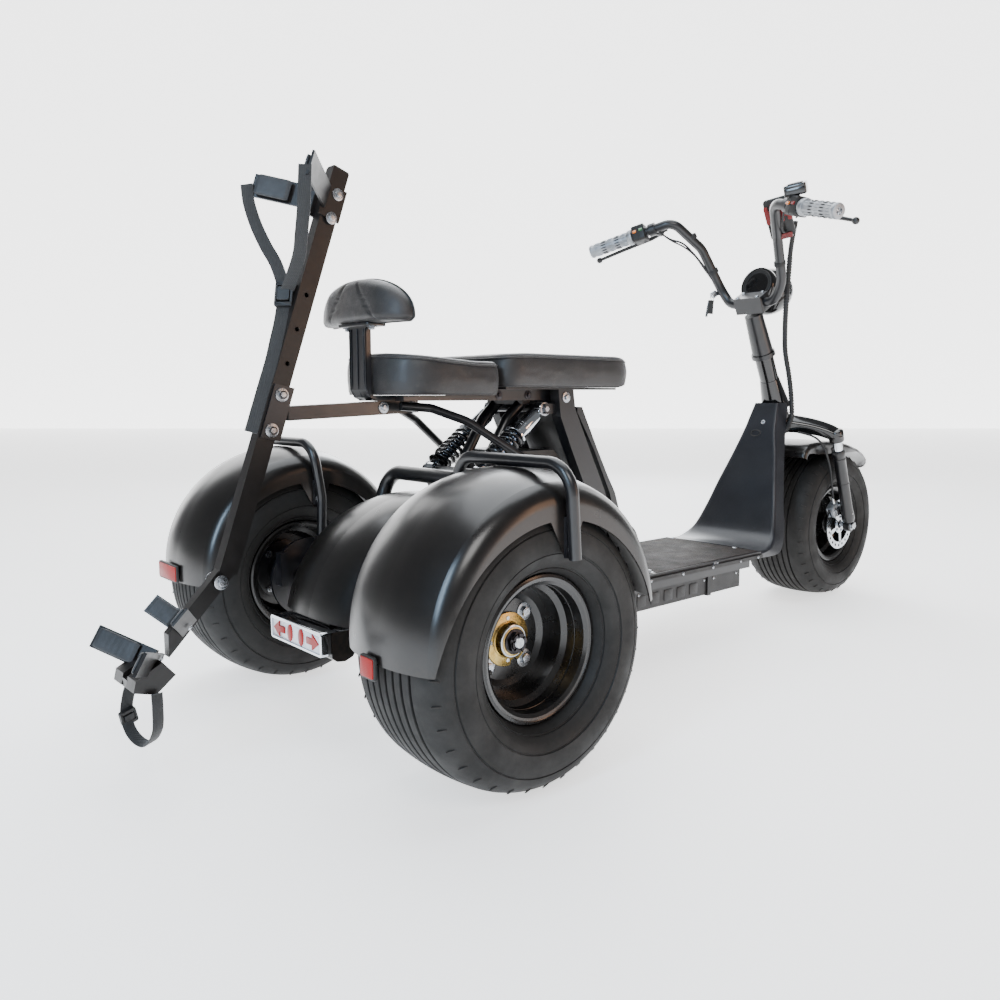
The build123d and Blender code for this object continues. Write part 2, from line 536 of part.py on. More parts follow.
GX, GZ, GR = 10.0, 252.0, 251.0
guards = []
for s, tag in ((1, "left"), (-1, "right")):
    g = spin_face(guard_face(GR, 150, 0, 3.0), GX, s * (TRACK - 1), GZ, start=-94, arc=178)
    g = g - Pos(5, s * TRACK, 205) * Rot(90, 0, 0) * Cylinder(226, 400)
    for e in (TRACK - 1 + 118.5, TRACK - 1 - 118.5):
        g = g + prof([(-18, 436), (56, 436), (34, 378), (14, 378)], s * e - 1.5, s * e + 1.5)
    guards.append(g)
put("rear_fenders", guards[0] + guards[1])

# carrying hoops over the rear mudguards, down to the axle
hoops = []
for s in (1, -1):
    h = bent([(25, s * 503, 372), (14, s * 503, 514), (8, s * 240, 514), (27, s * 240, 400), (22, s * 238, RR + 48.2)], 10, [46, 46, 80])
    h = h + bx(12, 38, min(s * 491.6, s * 497), max(s * 491.6, s * 497), 374, 436)
    h = h + bx(12, 38, min(s * 245, s * 251.3), max(s * 245, s * 251.3), 384, 436)
    hoops.append(h)
put("fender_bars", hoops[0] + hoops[1])

# middle mudguard over the axle
mg_o = [
    ThreePointArc((-115, 236), (-60, 252), (0, 256)),
    ThreePointArc((0, 256), (60, 252), (115, 236)),
    Line((115, 236), (115, 233)),
    ThreePointArc((115, 233), (60, 249), (0, 253)),
    ThreePointArc((0, 253), (-60, 249), (-115, 233)),
    Line((-115, 233), (-115, 236)),
]
mid_guard = spin_face(make_face(mg_o), 107, 0, 169, start=-79.5, arc=100)

# tail lamp across the back of the middle mudguard, with a chrome hood
lampb = bx(-172, -150, -93, 93, 164, 209) + bx(-172, -105, -93, 93, 206, 210)
put("tail_lamp", lampb)
flap = prof([(-150, 160), (-150, 206), (-99, 206), (-99, 168), (-108, 156), (-124, 150), (-140, 152)], -92, 92)
flap = flap + bx(-104.5, -99, -66, 66, 190, 217) + bx(-139, -99, -66, 66, 211, 217)
put("fender_center", mid_guard + flap)

# red reflectors below the rear mudguards
rf = bx(-250, -244, 348, 444, 234, 270) + bx(-250, -244, -376, -338, 212, 247)
rf = rf + bx(-245, -241.3, 380, 400, 236, 262) + bx(-245, -241.3, -362, -350, 236, 246)
put("reflectors", rf)

# --------------------------------------------------------------------------
# bag rack
# --------------------------------------------------------------------------
rack_bar = (bar((-178, 0, 583), (96, 0, 594), 30, 25) - rod((83, 20, 594), (83, -20, 594), 4)
            - rod((16, 20, 591.5), (16, -20, 591.5), 4))
MT, MB = Vector(-61.76, 0, 1006), Vector(-297, 0, 318)
md = (MT - MB).normalized()
mast = bar(tuple(MB), tuple(MT), 25, 32)
mast = mast - bar(tuple(MB - md), tuple(MT + md), 20, 27)
HOLES = [(-125, 786), (-145.5, 727), (-166, 668)]
HOLE_R = 4.0


def mast_pt(z):
    k = (z - MB.Z) / (MT.Z - MB.Z)
    return (MB.X + (MT.X - MB.X) * k, 0, z)


for x, z in HOLES:
    c = mast_pt(z)
    mast = mast - rod((c[0], -20, z), (c[0], 20, z), HOLE_R)
# clamp plates that hold the mast to the bar
cl = []
for s in (1, -1):
    p = [mast_pt(634), mast_pt(540)]
    q = prof([(p[0][0] - 14, 634), (p[0][0] + 22, 626), (p[1][0] + 24, 536), (p[1][0] - 12, 544)],
             min(s * 12.6, s * 16.6), max(s * 12.6, s * 16.6))
    cl.append(q)
for z in (615, 555):
    c = mast_pt(z)
    cl.append(rod((c[0] + 4, -22, z), (c[0] + 4, 22, z), 4) + rod((c[0] + 4, -24, z), (c[0] + 4, -16, z), 7) + rod((c[0] + 4, 16, z), (c[0] + 4, 24, z), 7))
put("rack_bar", rack_bar + join(cl))
put("backrest_post", NODES["backrest_post"] - rack_bar)

# top cradle: two wings in a vee, leaning with the mast
tilt = math.degrees(math.atan2(md.X, md.Z))
wings = []
for s in (1, -1):
    wv = Vector(-84, s * 86, 0)
    w = bar((-14, s * 16, 0), (-14 - 84, s * (16 + 86), 0), 42, 4, side=(0, 0, 1))
    cheek = bx(-22, 20, min(s * 12.7, s * 17), max(s * 12.7, s * 17), -34, 24)
    wings.append(w + cheek)
top = Location((-81, 0, 952), (0, tilt, 0))
pads_top = []
for s in (1, -1):
    pdb = bar((-50, s * 48, 0), (-94, s * 93, 0), 38, 9, side=(0, 0, 1))
    pads_top.append(Pos(-5.0, -s * 4.6, 0) * pdb)
put("rack_mast", mast - NODES["rack_bar"] + (top * wings[0]) + (top * wings[1]))
put("cradle_pads", (top * pads_top[0]) + (top * pads_top[1]))

# lower arm and base cradle
J = (-312, 0, 306)
E = (-424, 0, 188)
foot = bar((-296, 0, 323), E, 20, 26)
foot = foot + rod((J[0], -17, J[2]), (J[0], 17, J[2]), 9)
low_t = Location((-372, 0, 243), (0, 45, 0))
lw = []
for s in (1, -1):
    lw.append(low_t * bar((8, s * 11, 0), (-40, s * 62, 0), 34, 4, side=(0, 0, 1)))
base = Location((-424, 0, 190), (0, 30, 0))
for s in (1, -1):
    lw.append(base * bar((6, s * 11, 0), (-62, s * 104, 0), 38, 5, side=(0, 0, 1)))
put("rack_foot", foot - NODES["rack_mast"] + join(lw) + prof([(-424, 200), (-404, 176), (-436, 150), (-470, 160), (-466, 178)], -46, 46) - bx(-500, -400, -10.3, 10.3, 140, 260) + bx(-468, -440, -11, 11, 158, 172))


def strap(points, w, t):
    """flat strap laid through points as short flat runs"""
    out = []
    for a, b in zip(points[:-1], points[1:]):
        out.append(bar(a, b, w, t, side=(0.67, -0.74, 0)))
    return join(out)


put("rack_straps",
    strap([(-185, 104, 984), (-176, 92, 915), (-160, 52, 845), (-160, 22, 790)], 22, 2)
    + strap([(-181, -98, 980), (-178, -84, 915), (-168, -50, 845), (-162, 20, 790)], 22, 2)
    + strap([(-160, 20, 802), (-176, 8, 740), (-196, 0, 690)], 24, 2.5)
    + strap([(-452, 20, 156), (-462, 20, 120), (-462, 0, 78), (-452, -40, 70), (-440, -60, 100), (-440, -60, 158)], 18, 2))

# cables held by the vehicle at both ends
# the loom turns with the bar down to the seam, and lies along the head tube below it
LOOM_R = 7.5
loom_pts = [(1226, -142, 1066), (1240, -122, 1010), (1276, -98, 940), (1302, -78, 850), (1336, -58, 786), on_axis(SEAM + 5, 20, -56)]
put("wire_loom", bent(loom_pts, LOOM_R, [25, 28, 28, 28]))
low_pts = [on_axis(SEAM - 5, 20, -56), on_axis(90, 12, -58), on_axis(20, -8, -60), on_axis(-38, -32, -60), on_axis(-56, -60, -46)]
put("frame_loom", bent(low_pts, LOOM_R, [60, 60, 30]))
put("leg_shield", NODES["leg_shield"] - bent(low_pts, LOOM_R + 0.8, [60, 60, 30]))
hose_pts = [(1408, -70, 508), (1436, -104, 500), (1462, -122, 470), (1488, -124, 430), (1509, -123, 392), (1520, -122, 350), (1556, -112, 292)]
put("brake_hose", bent(hose_pts, 3.0, [24, 24, 30, 30, 20]))

# --------------------------------------------------------------------------
# export
# --------------------------------------------------------------------------
lo, hi = [1e9] * 3, [-1e9] * 3
for name, shape in NODES.items():
    s = Pos(-XC, 0, 0) * shape
    export_step(s, "parts/" + name + ".step")
    bb = s.bounding_box()
    for i, (a, b) in enumerate(((bb.min.X, bb.max.X), (bb.min.Y, bb.max.Y), (bb.min.Z, bb.max.Z))):
        lo[i], hi[i] = min(lo[i], a), max(hi[i], b)
print("nodes", len(NODES), "box", [round(v, 2) for v in lo], [round(v, 2) for v in hi],
      "centre x", round((lo[0] + hi[0]) / 2, 2), "centre y", round((lo[1] + hi[1]) / 2, 2))
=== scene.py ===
import math
import random

import bpy
import bmesh
import numpy as np
from mathutils import Matrix, Vector


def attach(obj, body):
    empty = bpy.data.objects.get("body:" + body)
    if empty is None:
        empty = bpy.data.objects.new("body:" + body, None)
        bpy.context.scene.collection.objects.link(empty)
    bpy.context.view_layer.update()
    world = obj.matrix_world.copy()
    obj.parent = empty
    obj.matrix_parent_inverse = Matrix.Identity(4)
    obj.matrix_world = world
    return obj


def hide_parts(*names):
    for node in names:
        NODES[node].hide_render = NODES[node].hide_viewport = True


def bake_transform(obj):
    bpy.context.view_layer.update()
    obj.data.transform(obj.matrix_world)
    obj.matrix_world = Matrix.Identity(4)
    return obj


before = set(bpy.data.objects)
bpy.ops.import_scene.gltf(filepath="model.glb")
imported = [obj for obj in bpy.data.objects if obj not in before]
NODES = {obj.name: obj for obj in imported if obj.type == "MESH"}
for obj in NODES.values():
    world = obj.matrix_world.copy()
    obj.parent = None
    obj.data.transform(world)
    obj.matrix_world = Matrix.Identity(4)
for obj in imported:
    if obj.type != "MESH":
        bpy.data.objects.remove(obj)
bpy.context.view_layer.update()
XC = 699.5
RNG = random.Random(7)


def V(x, y, z):
    """point in millimetres from the rear axle line to metres in the row frame"""
    return Vector(((x - XC) / 1000.0, y / 1000.0, z / 1000.0))


# ---------------------------------------------------------------------------
# materials: every one is a node tree with colour variation, roughness and bump
# ---------------------------------------------------------------------------
def lin(c):
    if isinstance(c, str):
        c = c.lstrip("#")
        c = [int(c[i:i + 2], 16) / 255 for i in (0, 2, 4)]
    return tuple((v / 12.92 if v <= 0.04045 else ((v + 0.055) / 1.055) ** 2.4) for v in c) + (1.0,)


class Nodes:
    """small wrapper to write node trees shortly"""

    def __init__(self, mat):
        self.t = mat.node_tree
        self.t.nodes.clear()
        self.out = self.t.nodes.new("ShaderNodeOutputMaterial")
        self.b = self.t.nodes.new("ShaderNodeBsdfPrincipled")
        self.t.links.new(self.b.outputs[0], self.out.inputs[0])
        self.co = self.t.nodes.new("ShaderNodeTexCoord").outputs["Object"]

    def link(self, a, b):
        self.t.links.new(a, b)

    def noise(self, scale, detail=4.0, rough=0.5, vec=None, dist=0.0):
        n = self.t.nodes.new("ShaderNodeTexNoise")
        n.inputs["Scale"].default_value = scale
        n.inputs["Detail"].default_value = detail
        n.inputs["Roughness"].default_value = rough
        n.inputs["Distortion"].default_value = dist
        self.link(vec or self.co, n.inputs["Vector"])
        return n.outputs["Fac"]

    def voronoi(self, scale, vec=None, feature="F1", out="Distance", rnd=1.0):
        n = self.t.nodes.new("ShaderNodeTexVoronoi")
        n.feature = feature
        n.inputs["Scale"].default_value = scale
        n.inputs["Randomness"].default_value = rnd
        self.link(vec or self.co, n.inputs["Vector"])
        return n.outputs[out]

    def wave(self, scale, axis="X", kind="BANDS", vec=None, dist=0.0, profile="SIN"):
        n = self.t.nodes.new("ShaderNodeTexWave")
        n.wave_type = kind
        if kind == "BANDS":
            n.bands_direction = axis
        n.wave_profile = profile
        n.inputs["Scale"].default_value = scale
        n.inputs["Distortion"].default_value = dist
        self.link(vec or self.co, n.inputs["Vector"])
        return n.outputs["Fac"]

    def scaled(self, s):
        n = self.t.nodes.new("ShaderNodeMapping")
        n.inputs["Scale"].default_value = s
        self.link(self.co, n.inputs["Vector"])
        return n.outputs[0]

    def ramp(self, fac, stops):
        n = self.t.nodes.new("ShaderNodeValToRGB")
        el = n.color_ramp.elements
        while len(el) > 1:
            el.remove(el[-1])
        el[0].position, el[0].color = stops[0][0], stops[0][1]
        for p, c in stops[1:]:
            e = el.new(p)
            e.color = c
        self.link(fac, n.inputs[0])
        return n.outputs[0]

    def mixc(self, fac, a, b, blend="MIX"):
        n = self.t.nodes.new("ShaderNodeMix")
        n.data_type = "RGBA"
        n.blend_type = blend
        for i, v in ((6, a), (7, b)):
            if isinstance(v, tuple):
                n.inputs[i].default_value = v
            else:
                self.link(v, n.inputs[i])
        if isinstance(fac, float):
            n.inputs[0].default_value = fac
        else:
            self.link(fac, n.inputs[0])
        return n.outputs[2]

    def math(self, op, a, b=0.5, c=None):
        n = self.t.nodes.new("ShaderNodeMath")
        n.operation = op
        for i, v in enumerate((a, b, c)):
            if v is None:
                continue
            if isinstance(v, (float, int)):
                n.inputs[i].default_value = v
            else:
                self.link(v, n.inputs[i])
        return n.outputs[0]

    def maprange(self, v, a, b, c, d):
        n = self.t.nodes.new("ShaderNodeMapRange")
        self.link(v, n.inputs[0])
        for i, x in enumerate((a, b, c, d)):
            n.inputs[i + 1].default_value = x
        return n.outputs[0]

    def bump(self, height, strength, dist, normal=None):
        n = self.t.nodes.new("ShaderNodeBump")
        n.inputs["Strength"].default_value = strength
        n.inputs["Distance"].default_value = dist
        self.link(height, n.inputs["Height"])
        if normal is not None:
            self.link(normal, n.inputs["Normal"])
        self.link(n.outputs[0], self.b.inputs["Normal"])
        return n.outputs[0]

    def edge(self, lo=0.52, hi=0.62):
        g = self.t.nodes.new("ShaderNodeNewGeometry")
        return self.maprange(g.outputs["Pointiness"], lo, hi, 0.0, 1.0)


MATS = {}


def surface(name, dark, light, rough=(0.3, 0.45), metal=0.0, grain=0.0, grain_scale=900.0, scale=9.0, coat=0.0, coat_rough=0.1,
            wear=None, wear_amt=0.4, dust=None, dust_amt=0.25, spec=0.5, sheen=0.0, aniso=0.0, streak=None):
    """general worn surface: two tone cloudiness, roughness clouds, fine grain bump, worn edges, dust in noise patches
    """
    m = bpy.data.materials.new(name)
    m.use_nodes = True
    n = Nodes(m)
    cloud = n.noise(scale, 5.0, 0.55)
    col = n.ramp(cloud, [(0.32, lin(dark)), (0.68, lin(light))])
    if streak:
        st = n.noise(1.0, 6.0, 0.6, vec=n.scaled(streak))
        col = n.mixc(n.maprange(st, 0.45, 0.75, 0.0, 0.5), col, lin(light))
    if dust is not None:
        d = n.noise(23.0, 8.0, 0.7)
        col = n.mixc(n.maprange(d, 0.48, 0.8, 0.0, dust_amt), col, lin(dust))
    if wear is not None:
        e = n.edge()
        brk = n.noise(140.0, 4.0, 0.6)
        e = n.math("MULTIPLY", e, n.maprange(brk, 0.4, 0.6, 0.0, wear_amt))
        col = n.mixc(e, col, lin(wear))
    n.link(col, n.b.inputs["Base Color"])
    r = n.noise(scale * 3.1, 5.0, 0.6)
    n.link(n.maprange(r, 0.3, 0.7, rough[0], rough[1]), n.b.inputs["Roughness"])
    n.b.inputs["Metallic"].default_value = metal
    n.b.inputs["Specular IOR Level"].default_value = spec
    if coat:
        n.b.inputs["Coat Weight"].default_value = coat
        n.b.inputs["Coat Roughness"].default_value = coat_rough
    if sheen:
        n.b.inputs["Sheen Weight"].default_value = sheen
        n.b.inputs["Sheen Roughness"].default_value = 0.4
    if aniso:
        n.b.inputs["Anisotropic"].default_value = aniso
    if grain:
        g = n.noise(grain_scale, 3.0, 0.6)
        n.bump(g, grain, 0.0006)
    MATS[name] = m
    return m


surface("fender_satin", "#080707", "#120f0e", rough=(0.27, 0.34), coat=0.4, coat_rough=0.22, spec=0.4, grain=0.06, grain_scale=1400, scale=5.0,
        wear="#4a382c", wear_amt=0.12, dust="#4c4238", dust_amt=0.05)
surface("frame_satin", "#0a0a0c", "#131317", rough=(0.28, 0.38), coat=0.25, coat_rough=0.2, grain=0.05, scale=12, dust="#3f3a34", dust_amt=0.05)
surface("gloss_black", "#040405", "#0b0b0d", rough=(0.12, 0.2), coat=0.7, coat_rough=0.06, spec=0.4, grain=0.03, scale=8, wear="#3f3028", wear_amt=0.1)
surface("rim_black", "#080808", "#121213", rough=(0.24, 0.34), coat=0.3, coat_rough=0.15, grain=0.05, scale=10,
        dust="#4b4338", dust_amt=0.07)
surface("mould_black", "#0c0c0d", "#161515", rough=(0.42, 0.55), grain=0.25, grain_scale=1900, scale=14,
        dust="#5a5144", dust_amt=0.07)
surface("battery_black", "#090909", "#131315", rough=(0.38, 0.5), grain=0.2, grain_scale=1500, scale=11, dust="#5d5444", dust_amt=0.10)
surface("rubber_black", "#0c0d0f", "#191a1d", rough=(0.55, 0.75), grain=0.3, grain_scale=1600, scale=16, dust="#6a6253", dust_amt=0.15)
surface("grip_rubber", "#10110f", "#232622", rough=(0.5, 0.7), grain=0.4, grain_scale=2100, scale=20)
surface("bright_steel", "#9da2a8", "#d9dde2", rough=(0.10, 0.22), metal=1.0, grain=0.05, grain_scale=700, scale=22, dust="#7b6f5c", dust_amt=0.15)
surface("chrome", "#c9ced4", "#e9edf2", rough=(0.04, 0.10), metal=1.0, grain=0.02, scale=18)
surface("bolt_steel", "#8e9298", "#c9cdd2", rough=(0.2, 0.34), metal=1.0, grain=0.2, grain_scale=2500, scale=60, dust="#6d5a42", dust_amt=0.3)
surface("dark_nut", "#2c2a2a", "#48464a", rough=(0.3, 0.45), metal=1.0, grain=0.2, grain_scale=2500, scale=60)
surface("cast_alu", "#85888c", "#b2b5b9", rough=(0.38, 0.52), metal=0.9, grain=0.5, grain_scale=1500, scale=30, dust="#5f574b", dust_amt=0.25)
surface("zinc_gold", "#9a7c3c", "#cbb06a", rough=(0.22, 0.38), metal=1.0, grain=0.15, grain_scale=1800, scale=45, wear="#d8d3c4", wear_amt=0.5,
        dust="#7f5a74", dust_amt=0.28)
surface("mast_grey", "#0f0d0d", "#171413", rough=(0.30, 0.40), metal=0.0, spec=0.35, grain=0.06, grain_scale=1500, scale=16, coat=0.12, coat_rough=0.25,
        dust="#4a4037", dust_amt=0.05)
surface("pad_grey", "#1f2124", "#2f3236", rough=(0.5, 0.65), grain=0.35, grain_scale=900, scale=22, dust="#15171a", dust_amt=0.25)
surface("spring_black", "#08080a", "#15161a", rough=(0.18, 0.3), coat=0.6, coat_rough=0.08, grain=0.05, scale=20)
surface("blue_steel", "#4d5a6b", "#8c9bb0", rough=(0.14, 0.26), metal=1.0, grain=0.06, scale=24)
surface("board_plate", "#4d535d", "#6b7280", rough=(0.35, 0.5), metal=0.6, grain=0.15, scale=26)
surface("red_box", "#5a0d0e", "#8e1416", rough=(0.25, 0.4), coat=0.4, grain=0.1, scale=20)


def shield_material():
    m = bpy.data.materials.new("shield_grey")
    m.use_nodes = True
    n = Nodes(m)
    cloud = n.noise(5.0, 5.0, 0.55)
    col = n.ramp(cloud, [(0.3, lin("#16171b")), (0.7, lin("#212329"))])
    spk = n.noise(1500.0, 2.0, 0.5)
    col = n.mixc(n.maprange(spk, 0.56, 0.72, 0.0, 0.55), col, lin("#454a58"))
    dsp = n.noise(1100.0, 2.0, 0.5)
    col = n.mixc(n.maprange(dsp, 0.6, 0.75, 0.0, 0.6), col, lin("#14161b"))
    n.link(col, n.b.inputs["Base Color"])
    n.link(n.maprange(n.noise(16.0, 5.0, 0.6), 0.3, 0.7, 0.3, 0.42), n.b.inputs["Roughness"])
    n.b.inputs["Metallic"].default_value = 0.2
    n.b.inputs["Coat Weight"].default_value = 0.3
    n.b.inputs["Coat Roughness"].default_value = 0.25
    n.bump(spk, 0.12, 0.0004)
    MATS["shield_grey"] = m


shield_material()


def vinyl_material(name, dark, light, rough=(0.34, 0.5)):
    """soft grained leathercloth"""
    m = bpy.data.materials.new(name)
    m.use_nodes = True
    n = Nodes(m)
    cloud = n.noise(7.0, 6.0, 0.55)
    col = n.ramp(cloud, [(0.3, lin(dark)), (0.72, lin(light))])
    cell = n.voronoi(620.0, feature="DISTANCE_TO_EDGE")
    crease = n.maprange(cell, 0.0, 0.12, 0.0, 1.0)
    # painted shade: the grain's cell edges are darkened towards near black, as if shade sat in the creases
    col = n.mixc(n.maprange(cell, 0.0, 0.1, 0.45, 0.0), col, lin("#0a0909"))
    dust = n.noise(30.0, 8.0, 0.7)
    col = n.mixc(n.maprange(dust, 0.52, 0.82, 0.0, 0.16), col, lin("#6f665d"))
    n.link(col, n.b.inputs["Base Color"])
    rr = n.noise(26.0, 5.0, 0.6)
    n.link(n.maprange(rr, 0.3, 0.7, rough[0], rough[1]), n.b.inputs["Roughness"])
    big = n.noise(60.0, 4.0, 0.6)
    h = n.math("ADD", n.math("MULTIPLY", crease, 0.6), n.math("MULTIPLY", big, 0.9))
    n.bump(h, 0.32, 0.0007)
    n.b.inputs["Sheen Weight"].default_value = 0.12
    n.b.inputs["Specular IOR Level"].default_value = 0.55
    MATS[name] = m


vinyl_material("saddle_vinyl", "#120f0f", "#231e1e")
vinyl_material("saddle_side", "#0e0d0e", "#1e1b1c", rough=(0.3, 0.46))


def tyre_material(name, dark, light):
    m = bpy.data.materials.new(name)
    m.use_nodes = True
    n = Nodes(m)
    cloud = n.noise(8.0, 6.0, 0.6)
    col = n.ramp(cloud, [(0.3, lin(dark)), (0.7, lin(light))])
    dust = n.noise(34.0, 9.0, 0.72)
    col = n.mixc(n.maprange(dust, 0.5, 0.8, 0.0, 0.10), col, lin("#453f37"))
    e = n.edge(0.5, 0.6)
    col = n.mixc(n.math("MULTIPLY", e, 0.10), col, lin("#4a453e"))
    n.link(col, n.b.inputs["Base Color"])
    n.link(n.maprange(n.noise(20.0, 5.0, 0.6), 0.3, 0.7, 0.55, 0.8), n.b.inputs["Roughness"])
    fine = n.noise(700.0, 4.0, 0.65)
    n.bump(fine, 0.25, 0.0006)
    n.b.inputs["Specular IOR Level"].default_value = 0.4
    MATS[name] = m


tyre_material("tyre_rubber", "#090909", "#111111")


def mat_ribs(name):
    """foot board mat: fine ribs along the vehicle with trodden dust"""
    m = bpy.data.materials.new(name)
    m.use_nodes = True
    n = Nodes(m)
    cloud = n.noise(9.0, 6.0, 0.6)
    col = n.ramp(cloud, [(0.3, lin("#171311")), (0.7, lin("#2b2320"))])
    d = n.noise(30.0, 8.0, 0.7)
    col = n.mixc(n.maprange(d, 0.45, 0.8, 0.0, 0.35), col, lin("#5e5347"))
    n.link(col, n.b.inputs["Base Color"])
    n.link(n.maprange(n.noise(22.0, 5.0, 0.6), 0.3, 0.7, 0.5, 0.72), n.b.inputs["Roughness"])
    n.bump(n.noise(800.0, 3.0, 0.6), 0.35, 0.0006)
    MATS[name] = m


mat_ribs("deck_mat")


def web_material(name, dark, light, scale=950.0):
    """woven strap: warp and weft bump with fibre noise"""
    m = bpy.data.materials.new(name)
    m.use_nodes = True
    n = Nodes(m)
    w1 = n.wave(scale / 6.283 * 1.0, axis="Z")
    w2 = n.wave(scale / 6.283 * 1.0, axis="X")
    weave = n.math("MULTIPLY", w1, w2)
    fib = n.noise(1800.0, 3.0, 0.6)
    cloud = n.noise(26.0, 5.0, 0.6)
    col = n.ramp(cloud, [(0.3, lin(dark)), (0.7, lin(light))])
    # painted shade: the low places between the threads of the weave are darkened towards near black
    col = n.mixc(n.maprange(weave, 0.0, 0.6, 0.5, 0.0), col, lin("#08080a"))
    n.link(col, n.b.inputs["Base Color"])
    n.link(n.maprange(fib, 0.3, 0.7, 0.6, 0.85), n.b.inputs["Roughness"])
    n.b.inputs["Sheen Weight"].default_value = 0.35
    n.bump(n.math("ADD", weave, n.math("MULTIPLY", fib, 0.5)), 0.5, 0.0008)
    MATS[name] = m


web_material("strap_web", "#0c0c0c", "#191817")


def lens_material(name, col, rough=0.12, coat=0.8):
    m = bpy.data.materials.new(name)
    m.use_nodes = True
    n = Nodes(m)
    c = n.ramp(n.noise(40.0, 3.0, 0.5), [(0.3, lin(col)), (0.7, tuple(min(1.0, v * 1.25) for v in lin(col)[:3]) + (1.0,))])
    n.link(c, n.b.inputs["Base Color"])
    cell = n.voronoi(420.0, feature="F1", rnd=0.0)
    n.bump(cell, 0.35, 0.0008)
    n.link(n.maprange(n.noise(60.0, 3.0, 0.5), 0.3, 0.7, rough, rough + 0.1), n.b.inputs["Roughness"])
    n.b.inputs["Coat Weight"].default_value = coat
    n.b.inputs["Coat Roughness"].default_value = 0.05
    MATS[name] = m


lens_material("red_lens", "#8f0505", 0.28, 0.15)
MATS["red_lens"].node_tree.nodes["Principled BSDF"].inputs["Specular IOR Level"].default_value = 0.25
lens_material("lamp_white", "#c9cbd2", 0.18)
lens_material("amber_part", "#c86a18")
lens_material("green_part", "#2f6a3c")
lens_material("lamp_glass", "#23262c", 0.06)


def paint(node, name):
    o = NODES[node]
    o.data.materials.clear()
    o.data.materials.append(MATS[name])


PAINT = {
    "backrest_post": "frame_satin", "battery_case": "battery_black", "brake_caliper": "cast_alu", "brake_disc": "bright_steel",
    "brake_hose": "rubber_black", "brake_levers": "frame_satin", "controller_case": "battery_black", "cradle_pads": "pad_grey",
    "fender_bars": "frame_satin", "fender_center": "fender_satin", "foot_board": "mould_black", "fork_crown": "gloss_black",
    "fork_sliders": "frame_satin", "fork_tubes": "chrome", "front_cover": "frame_satin", "front_fender": "fender_satin",
    "front_rim": "rim_black", "front_tyre": "tyre_rubber", "grips": "grip_rubber", "handlebar": "frame_satin", "head_tube": "gloss_black",
    "headlamp": "gloss_black", "leg_shield": "shield_grey", "main_frame": "frame_satin", "phone_holder": "mould_black",
    "rack_bar": "frame_satin", "rack_foot": "mast_grey", "rack_mast": "mast_grey", "rack_straps": "strap_web", "rear_axle": "frame_satin",
    "rear_fenders": "fender_satin", "rear_hub_left": "zinc_gold", "rear_hub_right": "zinc_gold", "rear_rim_left": "rim_black",
    "rear_rim_right": "rim_black", "rear_struts": "frame_satin", "rear_tyre_left": "tyre_rubber", "rear_tyre_right": "tyre_rubber",
    "reflectors": "red_lens", "seat_bed": "frame_satin", "seat_frame": "frame_satin", "seat_front": "saddle_vinyl",
    "seat_rear": "saddle_vinyl", "backrest_pad": "saddle_vinyl", "shock_absorbers": "chrome", "shock_springs": "spring_black",
    "steering_column": "frame_satin", "swing_arm": "frame_satin", "switch_boxes": "mould_black", "tail_lamp": "lamp_white",
    "wire_loom": "rubber_black", "frame_loom": "rubber_black",
}
for _n, _m in PAINT.items():
    paint(_n, _m)

# ---------------------------------------------------------------------------
# mesh code
# ---------------------------------------------------------------------------
def basis(axis, hint=(0, 0, 1)):
    """right handed frame whose third vector is axis"""
    w = Vector(axis).normalized()
    h = Vector(hint)
    if abs(w.dot(h.normalized())) > 0.95:
        h = Vector((1, 0, 0)) if abs(w.x) < 0.9 else Vector((0, 1, 0))
    u = (h - w * w.dot(h)).normalized()
    v = w.cross(u)
    return u, v, w


def crom(pts, n, closed=False):
    """smooth curve through pts with n steps between neighbours"""
    P = [Vector(p) for p in pts]
    out = []
    m = len(P)
    rng = range(m) if closed else range(m - 1)
    for i in rng:
        if closed:
            a, b, c, d = P[(i - 1) % m], P[i], P[(i + 1) % m], P[(i + 2) % m]
        else:
            b, c = P[i], P[i + 1]
            a = P[i - 1] if i > 0 else b * 2 - c
            d = P[i + 2] if i + 2 < m else c * 2 - b
        for k in range(n):
            t = k / n
            t2, t3 = t * t, t * t * t
            out.append(0.5 * ((2 * b) + (-a + c) * t + (2 * a - 5 * b + 4 * c - d) * t2 + (-a + 3 * b - 3 * c + d) * t3))
    if not closed:
        out.append(P[-1])
    return out


def rounded(pts, r, n=6):
    """closed 2D outline with arcs of radius r (or one radius a corner) at its corners"""
    out = []
    m = len(pts)
    for i in range(m):
        p = Vector(pts[i])
        a = (Vector(pts[i - 1]) - p)
        b = (Vector(pts[(i + 1) % m]) - p)
        rr = r[i] if isinstance(r, (list, tuple)) else r
        la, lb = a.length, b.length
        a.normalize()
        b.normalize()
        ang = math.acos(max(-1, min(1, a.dot(b))))
        if ang > 3.1 or rr <= 0:
            out.append(p)
            continue
        d = min(rr / math.tan(ang / 2), la * 0.49, lb * 0.49)
        p0, p1 = p + a * d, p + b * d
        for k in range(n + 1):
            t = k / n
            out.append(p0 * (1 - t) ** 2 + p * 2 * t * (1 - t) + p1 * t * t)
    return out


